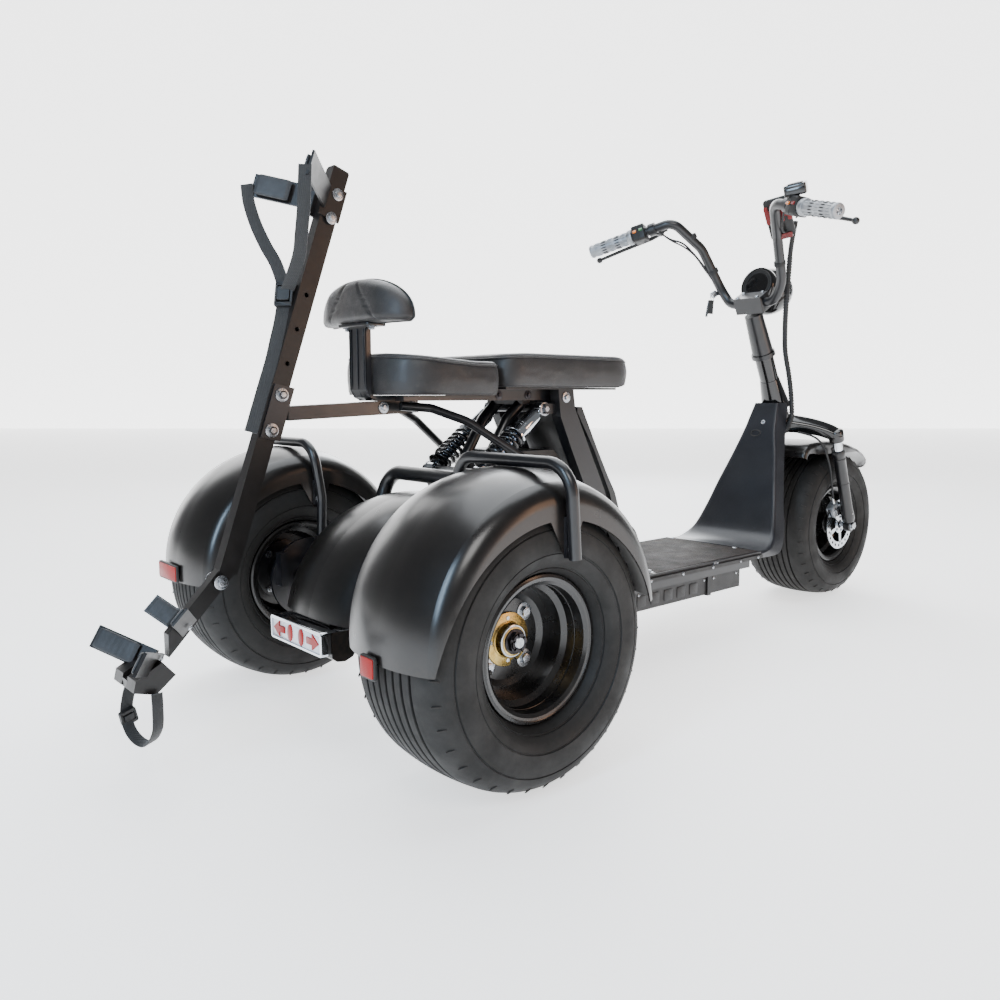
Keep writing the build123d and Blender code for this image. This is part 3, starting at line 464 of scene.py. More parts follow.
class G:
    """collects faces in millimetres of the working frame and turns them into one object"""

    def __init__(self, name, body, mats, slot=None, sharp=38.0):
        self.name, self.body, self.slot, self.sharp = name, body, slot, sharp
        self.mats = mats if isinstance(mats, (list, tuple)) else [mats]
        self.v, self.f, self.m = [], [], []

    def add(self, verts, faces, m=0):
        o = len(self.v)
        self.v.extend(Vector(p) for p in verts)
        self.f.extend(tuple(o + i for i in f) for f in faces)
        self.m.extend([m] * len(faces))

    def rings(self, rings, close_rings=False, cap0=True, cap1=True, m=0):
        """skin between rings of equal length"""
        n = len(rings[0])
        verts = [p for r in rings for p in r]
        faces = []
        k = len(rings)
        for i in range(k if close_rings else k - 1):
            a, b = i * n, ((i + 1) % k) * n
            for j in range(n):
                jn = (j + 1) % n
                faces.append((a + j, a + jn, b + jn, b + j))
        if not close_rings:
            if cap0:
                faces.append(tuple(range(n))[::-1])
            if cap1:
                faces.append(tuple((k - 1) * n + j for j in range(n)))
        self.add(verts, faces, m)

    def lathe(self, c, axis, prof, n=48, m=0, closed=False, hint=(0, 0, 1)):
        """prof is [(along axis, radius)]; radius 0 is closed with a fan"""
        u, v, w = basis(axis, hint)
        c = Vector(c)
        rings = []
        for a, r in prof:
            r = max(r, 0.02)
            rings.append([c + w * a + (u * math.cos(t) + v * math.sin(t)) * r for t in (2 * math.pi * k / n for k in range(n))])
        self.rings(rings, close_rings=closed, m=m)

    def tube(self, pts, r, n=12, m=0, closed=False, caps=True, radii=None):
        """round tube along points, with turn-free frames"""
        P = [Vector(p) for p in pts]
        k = len(P)
        rings = []
        u = None
        for i in range(k):
            if closed:
                t = (P[(i + 1) % k] - P[i - 1]).normalized()
            else:
                t = (P[min(i + 1, k - 1)] - P[max(i - 1, 0)]).normalized()
            if u is None:
                u, v, _ = basis(t)
            else:
                u = (u - t * t.dot(u)).normalized()
                v = t.cross(u)
            rr = radii[i] if radii else r
            rings.append([P[i] + (u * math.cos(a) + v * math.sin(a)) * rr for a in (2 * math.pi * j / n for j in range(n))])
        self.rings(rings, close_rings=closed, cap0=caps, cap1=caps, m=m)

    def ribbon(self, pts, sides, w, t, m=0, edge=0.35):
        """flat strap along points; sides gives the width direction at each point"""
        P = [Vector(p) for p in pts]
        k = len(P)
        S = [Vector(s) for s in sides] if isinstance(sides[0], (tuple, list, Vector)) else [Vector(sides)] * k
        if len(S) != k:
            S = [S[min(len(S) - 1, int(i * len(S) / k))] for i in range(k)]
        rings = []
        for i in range(k):
            d = (P[min(i + 1, k - 1)] - P[max(i - 1, 0)]).normalized()
            s = (S[i] - d * d.dot(S[i])).normalized()
            nrm = d.cross(s)
            ring = []
            for a, b in ((-0.5, -edge), (-0.46, -0.5), (0.46, -0.5), (0.5, -edge), (0.5, edge), (0.46, 0.5), (-0.46, 0.5), (-0.5, edge)):
                ring.append(P[i] + s * (a * w) + nrm * (b * t))
            rings.append(ring)
        self.rings(rings, m=m)

    def prism(self, c, axis, outline, h0, h1, bev=0.0, m=0, hint=(0, 0, 1)):
        """outline in the plane square to axis, with bevelled ends"""
        u, v, w = basis(axis, hint)
        c = Vector(c)
        cx = sum(p[0] for p in outline) / len(outline)
        cy = sum(p[1] for p in outline) / len(outline)

        def ring(h, inset):
            out = []
            for p in outline:
                dx, dy = p[0] - cx, p[1] - cy
                L = math.hypot(dx, dy) or 1
                k = max(0.0, (L - inset) / L)
                out.append(c + w * h + u * (cx + dx * k) + v * (cy + dy * k))
            return out
        if bev:
            rg = [ring(h0, bev), ring(h0 + bev * 0.3, bev * 0.3), ring(h0 + bev, 0), ring(h1 - bev, 0), ring(h1 - bev * 0.3, bev * 0.3), ring(h1, bev)]
        else:
            rg = [ring(h0, 0), ring(h1, 0)]
        self.rings(rg, m=m)

    def hexbolt(self, p, axis, r=6.0, h=4.5, washer=True, m=0, turn=0.3):
        """hex head with a washer, standing on p along axis"""
        w = Vector(axis).normalized()
        p = Vector(p)
        z = 0.0
        if washer:
            self.lathe(p, w, [(0, 0), (0, r * 1.75), (0.5, r * 1.9), (1.3, r * 1.9), (1.6, r * 1.75), (1.6, 0)], 24, m)
            z = 1.6
        hexa = [(math.cos(turn + math.pi / 3 * k) * r * 1.12, math.sin(turn + math.pi / 3 * k) * r * 1.12) for k in range(6)]
        self.prism(p, w, hexa, z, z + h, bev=0.7, m=m)
        self.lathe(p + w * (z + h), w, [(-0.2, r * 0.78), (0.5, r * 0.72), (0.65, 0)], 20, m)

    def screw(self, p, axis, r=6.0, h=2.6, m=0):
        """domed button head with a hex socket"""
        w = Vector(axis).normalized()
        p = Vector(p)
        self.lathe(p, w, [(0, 0), (0, r), (h * 0.35, r * 0.98), (h * 0.75, r * 0.8), (h, r * 0.5), (h, r * 0.42), (h * 0.35, r * 0.40), (h * 0.35, 0)], 28, m)

    def done(self, replaces=(), padded=None):
        me = bpy.data.meshes.new(self.name)
        me.from_pydata([V(*p) for p in self.v], [], self.f)
        for mt in self.mats:
            me.materials.append(MATS[mt])
        me.polygons.foreach_set("material_index", self.m)
        me.polygons.foreach_set("use_smooth", [True] * len(self.f))
        bm = bmesh.new()
        bm.from_mesh(me)
        bmesh.ops.recalc_face_normals(bm, faces=bm.faces)
        bm.to_mesh(me)
        bm.free()
        me.set_sharp_from_angle(angle=math.radians(self.sharp))
        o = bpy.data.objects.new(self.name, me)
        bpy.context.collection.objects.link(o)
        if self.body:
            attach(o, self.body)
        if replaces:
            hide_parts(*replaces)
        return o


RR, FR, TRACK, WB = 228.6, 223.5, 372.5, 1613.0


# ---------------------------------------------------------------------------
# tyres: ribbed turf tread, shoulder steps and ringed side walls
# ---------------------------------------------------------------------------
def tyre(name, body, node, c, hw, ro, grooves, gw=5.5, gd=5.0):
    k = hw / 116.0
    g = (ro - 118.5) / (228.6 - 118.5)

    def q(y, r):
        return (y * k, 118.5 + (r - 118.5) * g)
    side = [q(74, 222.5), q(84, 219.2), q(93, 214.6), q(101, 208.4), q(107, 200.5), q(110.5, 192), q(110.8, 191), q(109.6, 190), q(109.8, 188.5), q(112.2, 187.6),
            q(114.6, 178), q(115.3, 168), q(114.6, 160), q(113.6, 154.5), q(111.4, 153.8), q(110.8, 152.2), q(111.6, 151.0), q(108.6, 143), q(104.0, 136), q(98.6, 130.4),
            q(96.4, 130.2), q(95.4, 128.6), q(96.2, 127.2), q(90.5, 123.6), (83, 119.6), (75.5, 118.2), (74.6, 112.0), (74.6, 103.6)]
    crown = []
    ys = np.linspace(-66, 66, 67)
    for y in ys:
        r = 228.6 - (y / 66.0) ** 2 * 4.4
        crown.append(q(float(y), r))
    pts = []
    edges = sorted(grooves)
    y_prev = -66 * k
    base = []
    for yc in edges:
        for dy, dz in ((-gw / 2 - 0.8, 0), (-gw / 2, -0.7), (-gw / 2 + 0.7, -gd), (gw / 2 - 0.7, -gd), (gw / 2, -0.7), (gw / 2 + 0.8, 0)):
            base.append((yc + dy, dz))
    ends = [(-66 * k, 0), (66 * k, 0)]
    mids = []
    for a, b in zip([-66 * k] + edges, edges + [66 * k]):
        mids.append(((a + b) / 2, 0))
    allp = sorted(base + ends + mids, key=lambda t: t[0])
    for y, dz in allp:
        r0 = 118.5 + (228.6 - ((y / k) / 66.0) ** 2 * 4.4 - 118.5) * g
        pts.append((y, r0 + dz))
    full = [(-a, b) for a, b in side][::-1] + pts + side
    o = G(name, body, ["tyre_rubber"], "tyre_rubber", sharp=28)
    o.lathe(c, (0, 1, 0), full + [(70, 103.4), (-70, 103.4)], 168, closed=True)
    # pips at the shoulder: moulded wear bars between the ribs
    for i in range(36):
        a = 2 * math.pi * i / 36
        for s in (1, -1):
            y, r = s * 96 * k, 118.5 + (213.5 - 118.5) * g
            p = Vector(c) + Vector((math.cos(a) * r, y, math.sin(a) * r))
            nrm = Vector((math.cos(a) * 0.72, s * 0.69, math.sin(a) * 0.72))
            tang = Vector((-math.sin(a), 0, math.cos(a)))
            o.prism(p, nrm, [(-7, -1.4), (7, -1.4), (7, 1.4), (-7, 1.4)], -1.0, 0.9, bev=0.5, hint=nrm.cross(tang))
    return o.done(replaces=(node,))


REAR_GROOVES = [-55, -36, -18, 0, 18, 36, 55]
tyre("tyre_rl", "rear_wheel_left", "rear_tyre_left", (0, TRACK, RR), 116.0, RR, REAR_GROOVES, gw=5.0)
tyre("tyre_rr", "rear_wheel_right", "rear_tyre_right", (0, -TRACK, RR), 116.0, RR, REAR_GROOVES, gw=5.0)
tyre("tyre_f", "front_wheel", "front_tyre", (WB, 0, FR), 111.5, FR, [-54, -36, -18, 0, 18, 36, 54], gw=5.0)


# ---------------------------------------------------------------------------
# rear hubs: zinc flange with its notch, silver boss ring, castle nut, bolts, valve
# ---------------------------------------------------------------------------
def rear_hub(tag, s):
    c = (0, s * TRACK, RR)
    ax = (0, s, 0)
    o = G("hub_" + tag, "rear_wheel_" + tag, ["zinc_gold", "bolt_steel", "dark_nut", "frame_satin", "bright_steel"], "zinc_hub", sharp=32)
    # carrier behind the disc
    o.lathe(c, ax, [(-2.2, 26.5), (-2.2, 65.5), (-8, 66), (-9, 60), (-9, 42), (-61, 34), (-62, 33), (-62, 13)], 48, 3)
    o.lathe(c, ax, [(-196, 0), (-196, 12.3), (-30, 12.4), (-30, 0)], 32, 4)
    # flange with a notch: outline points in the wheel plane
    u, v, w = basis(ax)
    ring = []
    for k in range(96):
        a = 2 * math.pi * k / 96
        r = 44.0
        d = (a - math.radians(200) + math.pi) % (2 * math.pi) - math.pi
        if abs(d) < 0.16:
            r = 36.5
        ring.append((math.cos(a) * r, math.sin(a) * r))
    o.prism(c, ax, ring, 4.1, 8.4, bev=0.9, m=0)
    for k in range(4):
        a = math.radians(0 + 90 * k)
        p = Vector(c) + w * 8.2 + (u * math.cos(a) + v * math.sin(a)) * 34.5
        o.lathe(p, ax, [(0, 0), (0, 3.4), (0.9, 3.1), (1.1, 0)], 16, 1)
    # stepped boss, bright ring and dark washer under the nut
    o.lathe(c, ax, [(7.8, 30), (9.2, 29.5), (10.0, 27.5), (17, 25.2), (22, 24.6), (23.6, 23.4), (24.2, 21), (24.2, 0)], 56, 0)
    o.lathe(c, ax, [(18.6, 25.4), (19.2, 26.6), (22.4, 26.6), (23.0, 25.4), (23.0, 24)], 56, 4)
    o.lathe(c, ax, [(24.2, 20.5), (26.2, 20.5), (26.6, 19.5), (26.6, 0)], 40, 2)
    # castle nut: hex, crown with slots and spindle end
    hexa = [(math.cos(math.pi / 3 * k + 0.2) * 17.6, math.sin(math.pi / 3 * k + 0.2) * 17.6) for k in range(6)]
    o.prism(c, ax, hexa, 26.4, 33.4, bev=0.8, m=2)
    for k in range(6):
        a0 = math.pi / 3 * k + 0.2
        seg = []
        for j in range(6):
            t = a0 + 0.13 + (math.pi / 3 - 0.26) * j / 5
            seg.append((math.cos(t) * 14.6, math.sin(t) * 14.6))
        for j in range(5, -1, -1):
            t = a0 + 0.13 + (math.pi / 3 - 0.26) * j / 5
            seg.append((math.cos(t) * 10.2, math.sin(t) * 10.2))
        o.prism(c, ax, seg, 33.2, 37.0, bev=0.0, m=2)
    o.lathe(c, ax, [(33, 9.8), (36.6, 9.6), (37.8, 8.2), (37.8, 0)], 28, 1)
    # wheel bolts with washers
    for k in range(4):
        a = math.radians(45 + 90 * k)
        p = Vector(c) + w * 4.1 + (u * math.cos(a) + v * math.sin(a)) * 55
        o.hexbolt(p, ax, 8.0, 6.6, True, 1, turn=0.3 + k)
        q = Vector(c) - w * 9 + (u * math.cos(a) + v * math.sin(a)) * 55
        o.hexbolt(q, (0, -s, 0), 7.0, 5.0, False, 1)
    o.done(replaces=("rear_hub_" + tag,))
    # rim furniture: valve with its cap, weld bead rings and hump lines in the dish
    r = G("rimtrim_" + tag, "rear_wheel_" + tag, ["rubber_black", "rim_black", "bright_steel"], "black_rim", sharp=35)
    a = math.radians(118)
    base = Vector(c) + (u * math.cos(a) + v * math.sin(a)) * 82 + w * 10
    tilt = (w * 0.94 - (u * math.cos(a) + v * math.sin(a)) * 0.34)
    r.lathe(base, tilt, [(-1, 0), (-1, 8.4), (1.5, 8), (4, 5.2), (20, 4.0), (21, 3.4), (21, 4.4), (31, 4.2), (32.2, 3.2), (32.2, 0)], 24, 0)
    r.tube([Vector(c) + w * 4.2 + (u * math.cos(t) + v * math.sin(t)) * 91.2 for t in (2 * math.pi * k / 96 for k in range(96))], 1.5, 8, 1, closed=True)
    r.tube([Vector(c) + w * 82.6 + (u * math.cos(t) + v * math.sin(t)) * 111.6 for t in (2 * math.pi * k / 96 for k in range(96))], 2.3, 8, 1, closed=True)
    r.tube([Vector(c) + w * 60 + (u * math.cos(t) + v * math.sin(t)) * 99.0 for t in (2 * math.pi * k / 96 for k in range(96))], 0.9, 8, 1, closed=True)
    r.done()


rear_hub("left", 1)
rear_hub("right", -1)


# ---------------------------------------------------------------------------
# front wheel furniture
# ---------------------------------------------------------------------------
fc = Vector((WB, 0, FR))
o = G("front_hub_trim", "front_wheel", ["bolt_steel", "frame_satin", "rubber_black", "bright_steel"], "black_rim")
for k in range(5):
    a = math.radians(72 * k + 10)
    p = fc + Vector((math.cos(a) * 22, -107.0 + 0.2, math.sin(a) * 22))
    o.screw(Vector((p.x, -100.2 - 5.0, p.z)), (0, -1, 0), 4.2, 2.6, 0)
for k in range(5):
    a = math.radians(72 * k + 54)
    for s, yy in ((-1, -10), (1, -4)):
        o.hexbolt(fc + Vector((math.cos(a) * 52, yy, math.sin(a) * 52)), (0, s, 0), 6.5, 5, True, 0)
o.lathe(fc, (0, -1, 0), [(60, 29.5), (62, 31.5), (66, 31.5), (68, 29)], 40, 1)
a = math.radians(60)
o.lathe(fc + Vector((math.cos(a) * 92, -30, math.sin(a) * 92)), (-0.3, -0.9, 0), [(0, 0), (0, 7), (3, 5), (20, 4), (30, 4), (31, 0)], 18, 2)
for s in (1, -1):
    o.tube([fc + Vector((math.cos(t) * 111.8, s * 82.4, math.sin(t) * 111.8)) for t in (2 * math.pi * k / 96 for k in range(96))], 2.2, 8, 1, closed=True)
o.done()



# ---------------------------------------------------------------------------
# saddles and back rest: crowned vinyl over foam, with piped top seams
# ---------------------------------------------------------------------------
from mathutils import noise as mnoise


def resample(pts, n):
    """n points evenly spaced round a closed 2D outline"""
    P = [Vector((p[0], p[1])) for p in pts]
    P.append(P[0])
    L = [0.0]
    for a, b in zip(P, P[1:]):
        L.append(L[-1] + (b - a).length)
    out, j = [], 0
    for k in range(n):
        t = L[-1] * k / n
        while L[j + 1] < t:
            j += 1
        f = (t - L[j]) / max(1e-9, L[j + 1] - L[j])
        out.append(P[j].lerp(P[j + 1], f))
    return out


def saddle(name, node, outline, zb, zt, crown, dish):
    n = 168
    O = resample(outline, n)
    cx = sum(p.x for p in O) / n
    cy = 0.0
    N = []
    for k in range(n):
        t = (O[(k + 1) % n] - O[k - 1]).normalized()
        N.append(Vector((t.y, -t.x)))
    # outline runs counter clockwise, so N points outward
    area2 = sum(O[k].x * O[(k + 1) % n].y - O[(k + 1) % n].x * O[k].y for k in range(n))
    if area2 < 0:
        N = [-v for v in N]

    def wrinkle(p, amp, k1=0.012, seed=0.0):
        return mnoise.noise(Vector((p[0] * k1 + seed, p[1] * k1, p[2] * k1 * 1.6))) * amp

    rings = []

    def ring(inset, zf, seed=0.0, amp=0.0):
        r = []
        for k in range(n):
            p = O[k] - N[k] * inset
            z = zf(p.x, p.y)
            w = wrinkle((p.x, p.y, z), amp, 0.02, seed) + wrinkle((p.x, p.y, z), amp * 0.4, 0.06, seed + 9)
            r.append(Vector((p.x + N[k].x * w, p.y + N[k].y * w, z)))
        return r
    for f in (0.15, 0.5, 0.8):
        rings.append([Vector((cx + (p.x - cx) * f, p.y * f, zb(p.x, p.y))) for p in O])
    rings.append(ring(9, lambda x, y: zb(x, y)))
    rings.append(ring(4.2, lambda x, y: zb(x, y) + 0.6))
    rings.append(ring(1.6, lambda x, y: zb(x, y) + 3.0))
    H = 18
    for i in range(H + 1):
        t = i / H
        bulge = -2.6 * math.sin(math.pi * t) ** 0.8 + 1.4 * (t ** 3)
        rings.append(ring(bulge + 1.0, lambda x, y, t=t: zb(x, y) + 5 + (zt(x, y) - 9.0 - zb(x, y) - 5) * t, 3.0, 1.5 * math.sin(math.pi * t)))
    # tuck under the piping, then the roll up onto the top panel
    rings.append(ring(4.0, lambda x, y: zt(x, y) - 8.0))
    rings.append(ring(4.6, lambda x, y: zt(x, y) - 7.0))
    rings.append(ring(3.4, lambda x, y: zt(x, y) - 5.6))
    rings.append(ring(4.2, lambda x, y: zt(x, y) - 3.4))
    rings.append(ring(6.6, lambda x, y: zt(x, y) - 1.2))
    rings.append(ring(10.0, lambda x, y: zt(x, y) + 0.2))
    base = [p.copy() for p in rings[-1]]
    M = 20
    for i in range(1, M + 1):
        f = 1 - i / M
        f = max(f, 0.012)
        r = []
        for k in range(n):
            b = base[k]
            x, y = cx + (b.x - cx) * f, b.y * f
            up = crown * (1 - f ** 2.4) - dish * math.exp(-((f) / 0.42) ** 2)
            w = wrinkle((x, y, 0), 0.9 * (1 - f * 0.3), 0.016, 5.0) + wrinkle((x, y, 0), 0.35, 0.05, 11.0)
            r.append(Vector((x, y, zt(x, y) + 0.2 + up + w)))
        rings.append(r)
    o = G(name, "frame", ["saddle_vinyl", "saddle_side"], "saddle_vinyl", sharp=60)
    split = 6 + H + 1
    o.rings(rings[:split + 3], cap1=False, m=1)
    o.rings(rings[split + 2:], cap0=False, m=0)
    # piping in the tuck
    pipe = [O[k] - N[k] * 3.0 for k in range(n)]
    o.tube([Vector((p.x, p.y, zt(p.x, p.y) - 7.2)) for p in pipe], 2.1, 8, 1, closed=True)
    # lower hem roll against the pan
    hem = [O[k] - N[k] * 3.4 for k in range(n)]
    o.tube([Vector((p.x, p.y, zb(p.x, p.y) + 1.6)) for p in hem], 1.7, 8, 1, closed=True)
    ob = o.done(replaces=(node,), padded=0.85)
    w = ob.modifiers.new("weld", "WELD")
    w.merge_threshold = 0.00002
    return ob


HW = 132.0


ro = [(-13.5, 0), (-10.5, 48), (4, 88), (32, 115), (70, 126), (120, 127), (180, 126), (206, 121), (217, 104), (219, 60), (219.5, 0)]
rear_out = crom([Vector((x, y, 0)) for x, y in ro] + [Vector((x, -y, 0)) for x, y in ro[-2:0:-1]], 8, closed=True)
saddle("saddle_rear", "seat_rear", [(p.x, p.y) for p in rear_out],
       lambda x, y: 614.5, lambda x, y: 690.0 - 12.5 * max(0.0, min(1.0, (x - 0) / 150.0)) ** 0.8 - 0.0, 1.6, 1.2)
fo = rounded([(223, -130), (223, 130), (600, 130), (600, -130)], [46, 46, 52, 52], 10)
saddle("saddle_front", "seat_front", fo,
       lambda x, y: 630.4 + 13 * max(0.0, (x - 545) / 60.0) ** 1.3, lambda x, y: 697.0 - 5.0 * max(0.0, (300 - x) / 80.0) ** 2 - 0.0 - 9.5 * max(0.0, (x - 540) / 64.0) ** 2,
       2.2, 2.0)


def back_pad():
    n = 132
    out = []
    W, zb_, zt_ = 137.0, 743.5, 823.0
    m = n * 2 // 3
    for k in range(m):
        a = math.pi * k / (m - 1)
        y = W * math.cos(a)
        z = zb_ + 6 + (zt_ - zb_ - 6) * max(0.0, math.sin(a)) ** 0.86
        out.append((y, z))
    for k in range(1, n - m + 1):
        t = k / (n - m + 1)
        y = -W + 2 * W * t
        out.append((y * 0.985, zb_ + 0.0))
    O = resample(out, n)
    cy, cz = 0.0, 775.0

    def xr(y):
        b = abs(y)
        x = -46.5 + 2.5 * (b / 75.0) ** 2
        if b > 72:
            x += (b - 72) * 0.15 - 2.0 * (1 - math.exp(-(b - 72) / 6.0))
        return x

    def xf(y):
        b = abs(y)
        return 9.5 + 10.0 * (b / 137.0) ** 2.0
    rings = []
    M = 26
    fs = [math.sin(math.pi / 2 * (i / M)) for i in range(1, M + 1)]
    for f in fs:
        r = []
        for p in O:
            y, z = cy + (p.x - cy) * f, cz + (p.y - cz) * f
            e = 1 - (1 - f ** 7) ** 0.5
            h = (z - 744) / 80.0
            mid = (xr(y) + xf(y)) / 2
            lean = 5.0 * max(0.0, h) ** 2
            w = mnoise.noise(Vector((y * 0.02, z * 0.03, 3))) * 0.9 + mnoise.noise(Vector((y * 0.07, z * 0.07, 8))) * 0.3
            x = xr(y) + (mid - xr(y)) * e + lean * (1 - e) + w * (1 - e)
            # shallow sewn line between the middle and the side panels
            sy = 78.0 * max(0.0, 1 - h * 0.86)
            d = abs(abs(y) - sy)
            if h < 0.98:
                x += 2.6 * math.exp(-(d / 2.4) ** 2) * (1 - e)
            r.append(Vector((x, y, z)))
        rings.append(r)
    for f in fs[::-1][1:]:
        r = []
        for p in O:
            y, z = cy + (p.x - cy) * f, cz + (p.y - cz) * f
            e = 1 - (1 - f ** 7) ** 0.5
            mid = (xr(y) + xf(y)) / 2
            w = mnoise.noise(Vector((y * 0.02, z * 0.03, 33))) * 0.8
            r.append(Vector((xf(y) + (mid - xf(y)) * e + 5.0 * (1 - f ** 2) + w * (1 - e), y, z)))
        rings.append(r)
    o = G("back_rest", "frame", ["saddle_vinyl", "saddle_side"], "saddle_vinyl", sharp=60)
    o.rings(rings, m=0)
    seam = []
    for p in O:
        y, z = p.x, p.y
        seam.append(Vector(((xr(y) + xf(y)) / 2 + 7, y * 1.0, cz + (z - cz) * 1.0)))
    o.tube(seam, 1.9, 8, 1, closed=True)
    o.done(replaces=("backrest_pad",), padded=0.9)


back_pad()

# base board under the pad, post ribs, bolts
o = G("back_rest_fixing", "frame", ["frame_satin", "bolt_steel"], "satin_black_metal")
plate = rounded([(-40, -52), (2, -52), (2, 52), (-40, 52)], 8, 4)
o.prism((0, 0, 738.2), (0, 0, 1), [(y, -x) for x, y in plate], 0, 5.2, bev=0.8, m=0, hint=(0, 1, 0))
for y in (-44, 44):
    o.hexbolt((-23, y * 0.92, 738.0), (0, 0, -1), 5.2, 4.4, True, 1)
for y in (-26, -21, 0, 21, 26):
    o.tube([(-29.2, y, 734), (-29.2, y, 640), (-28.4, y, 626), (-22, y, 613), (-8, y, 604.6)] if abs(y) > 22 else
           [(-28.9, y, 734), (-28.9, y, 640), (-28.0, y, 627), (-21.5, y, 613.5), (-8, y, 605.0)], 1.3, 6, 0)
o.done()


# ---------------------------------------------------------------------------
# leg shield: smooth tapered sheet with rounded side returns
# ---------------------------------------------------------------------------
SH = [(1346, 38, 592, 1402, 592), (1329, 45, 553, 1386, 553), (1313, 52, 514, 1370, 514), (1286, 73, 441, 1334, 441), (1254, 94, 368, 1301, 368),
      (1227, 112, 301, 1274, 301), (1199, 128, 246, 1256, 246), (1176, 140, 222.5, 1228, 205), (1142, 148, 208, 1190, 188), (1103, 152, 206.6, 1103, 188)]


def shield():
    st = crom([Vector((a[0], a[1], a[2])) for a in SH], 9)
    fr = crom([Vector((a[3], a[4], 0)) for a in SH], 9)
    T = 3.2
    rings = []
    for p, q in zip(st, fr):
        x, h, z = p
        fv = Vector((q.x - x, q.y - z))
        L = max(fv.length, 18.0)
        d = fv.normalized() if fv.length > 1 else Vector((0, -1))
        R = min(9.0, h * 0.2)

        def pt(along, y):
            return Vector((x + d.x * along, y, z + d.y * along))
        outer = []
        for t in (1.0, 0.8, 0.6, 0.4, 0.25):
            outer.append((max(t * L, R), -h))
        for k in range(7):
            a = math.pi / 2 * k / 6
            outer.append((R - R * math.sin(a), -h + R - R * math.cos(a)))
        for t in (0.92, 0.75, 0.5, 0.25, 0.0):
            y = -(h - R) * t
            outer.append((-1.6 * (1 - t * t), y))
        full = outer + [(a, -y) for a, y in outer[::-1][1:]]
        inner = []
        for a, y in full:
            hh = h - T
            yi = max(-hh, min(hh, y * (hh / h)))
            ai = a + (T if abs(y) < h - 0.5 else 0.0)
            if abs(y) >= h - 0.5:
                ai = max(a, R)
            inner.append((ai if a < L - 0.5 else a, yi))
        rings.append([pt(a, y) for a, y in full] + [pt(a, y) for a, y in inner[::-1]])
    o = G("leg_shield_skin", "frame", ["shield_grey"], "shield_grey", sharp=35)
    o.rings(rings)
    o.done(replaces=("leg_shield",))


shield()



# ---------------------------------------------------------------------------
# front mudguard
# ---------------------------------------------------------------------------
def lerp_table(tab, x):
    if x <= tab[0][0]:
        return tab[0][1]
    for (a, b), (c, d) in zip(tab, tab[1:]):
        if x <= c:
            t = (x - a) / (c - a)
            t = t * t * (3 - 2 * t) * 0.5 + t * 0.5
            return b + (d - b) * t
    return tab[-1][1]


def front_guard():
    top = crom([Vector((x, 0, z)) for x, z in ((1387, 437), (1395, 456), (1418, 472.5), (1470, 481.5), (1540, 481.5), (1610, 473.5), (1680, 460),
                                                (1740, 445.5), (1800, 426.5), (1850, 404.5), (1887, 385.5))], 9)
    wid = [(1386, 105), (1500, 108.5), (1640, 111.5), (1710, 105), (1760, 96), (1810, 83), (1840, 70), (1866, 53), (1879, 37), (1888, 10)]
    dep = [(1386, 12), (1420, 20), (1460, 30), (1500, 33), (1600, 27), (1660, 16), (1706, 6), (1740, 4.5), (1888, 3.5)]
    T = 2.4
    rings = []
    for i, p in enumerate(top):
        h = lerp_table(wid, p.x)
        d = lerp_table(dep, p.x)
        a = top[max(i - 1, 0)]
        b = top[min(i + 1, len(top) - 1)]
        t = (b - a).normalized()
        nrm = Vector((-t.z, 0, t.x))
        R = min(12.0, h * 0.4)
        outer = []
        for k in range(4):
            outer.append((-h - 1.2 * k / 3 + 1.2, -d - R * 0.5 + (d - R * 0.5) * k / 3))
        for k in range(1, 7):
            an = math.pi / 2 * k / 6
            outer.append((-h + R - R * math.cos(an), -R + R * math.sin(an)))
        for f in (0.84, 0.66, 0.45, 0.22, 0.0):
            outer.append((-(h - R) * f, 1.8 * (1 - f * f)))
        full = outer + [(-y, z) for y, z in outer[::-1][1:]]
        n = len(full)
        inner = []
        for j, (y, z) in enumerate(full):
            a_, b_ = Vector(full[max(j - 1, 0)]), Vector(full[min(j + 1, n - 1)])
            tt = (b_ - a_).normalized()
            inner.append((y + tt.y * T, z - tt.x * T))
        rings.append([p + Vector((0, 1, 0)) * y + nrm * (z - 1.9) for y, z in full] + [p + Vector((0, 1, 0)) * y + nrm * (z - 1.9) for y, z in inner[::-1]])
    o = G("front_guard", "steering", ["fender_satin", "frame_satin", "bolt_steel"], "dark_plastic", sharp=40)
    o.rings(rings)
    for s in (1, -1):
        # stay: bent flat steel from the guard's side to the slider with a bolt
        o.ribbon([(1551, s * 107.5, 462), (1551, s * 108.6, 446), (1551, s * 109.4, 432), (1551, s * 113, 427.2), (1551, s * 117.6, 426.6)], (1, 0, 0), 24, 3, 1)
        for x in (1546,):
            o.hexbolt((x, s * 109.6, 455), (0, s, 0), 4.2, 3.4, True, 2)
    o.done(replaces=("front_fender",))


front_guard()


# ---------------------------------------------------------------------------
# fork crown, stanchions, sliders
# ---------------------------------------------------------------------------
SA, SD = Vector((1400, 0, 585)), Vector((-0.4680, 0, 0.8837))
LEGY = 135.0
LT, LE = Vector((1508, 0, 496)), Vector((WB, 0, FR))
UL = (LE - LT).normalized()


def ax_pt(along, fwd=0.0, y=0.0):
    return Vector((SA.x + SD.x * along + SD.z * fwd, y, SA.z + SD.z * along - SD.x * fwd))


def sup(a, b, n=28, p=3.0):
    out = []
    for k in range(n):
        t = 2 * math.pi * k / n
        c, s = math.cos(t), math.sin(t)
        out.append((a * math.copysign(abs(c) ** (2 / p), c), b * math.copysign(abs(s) ** (2 / p), s)))
    return out


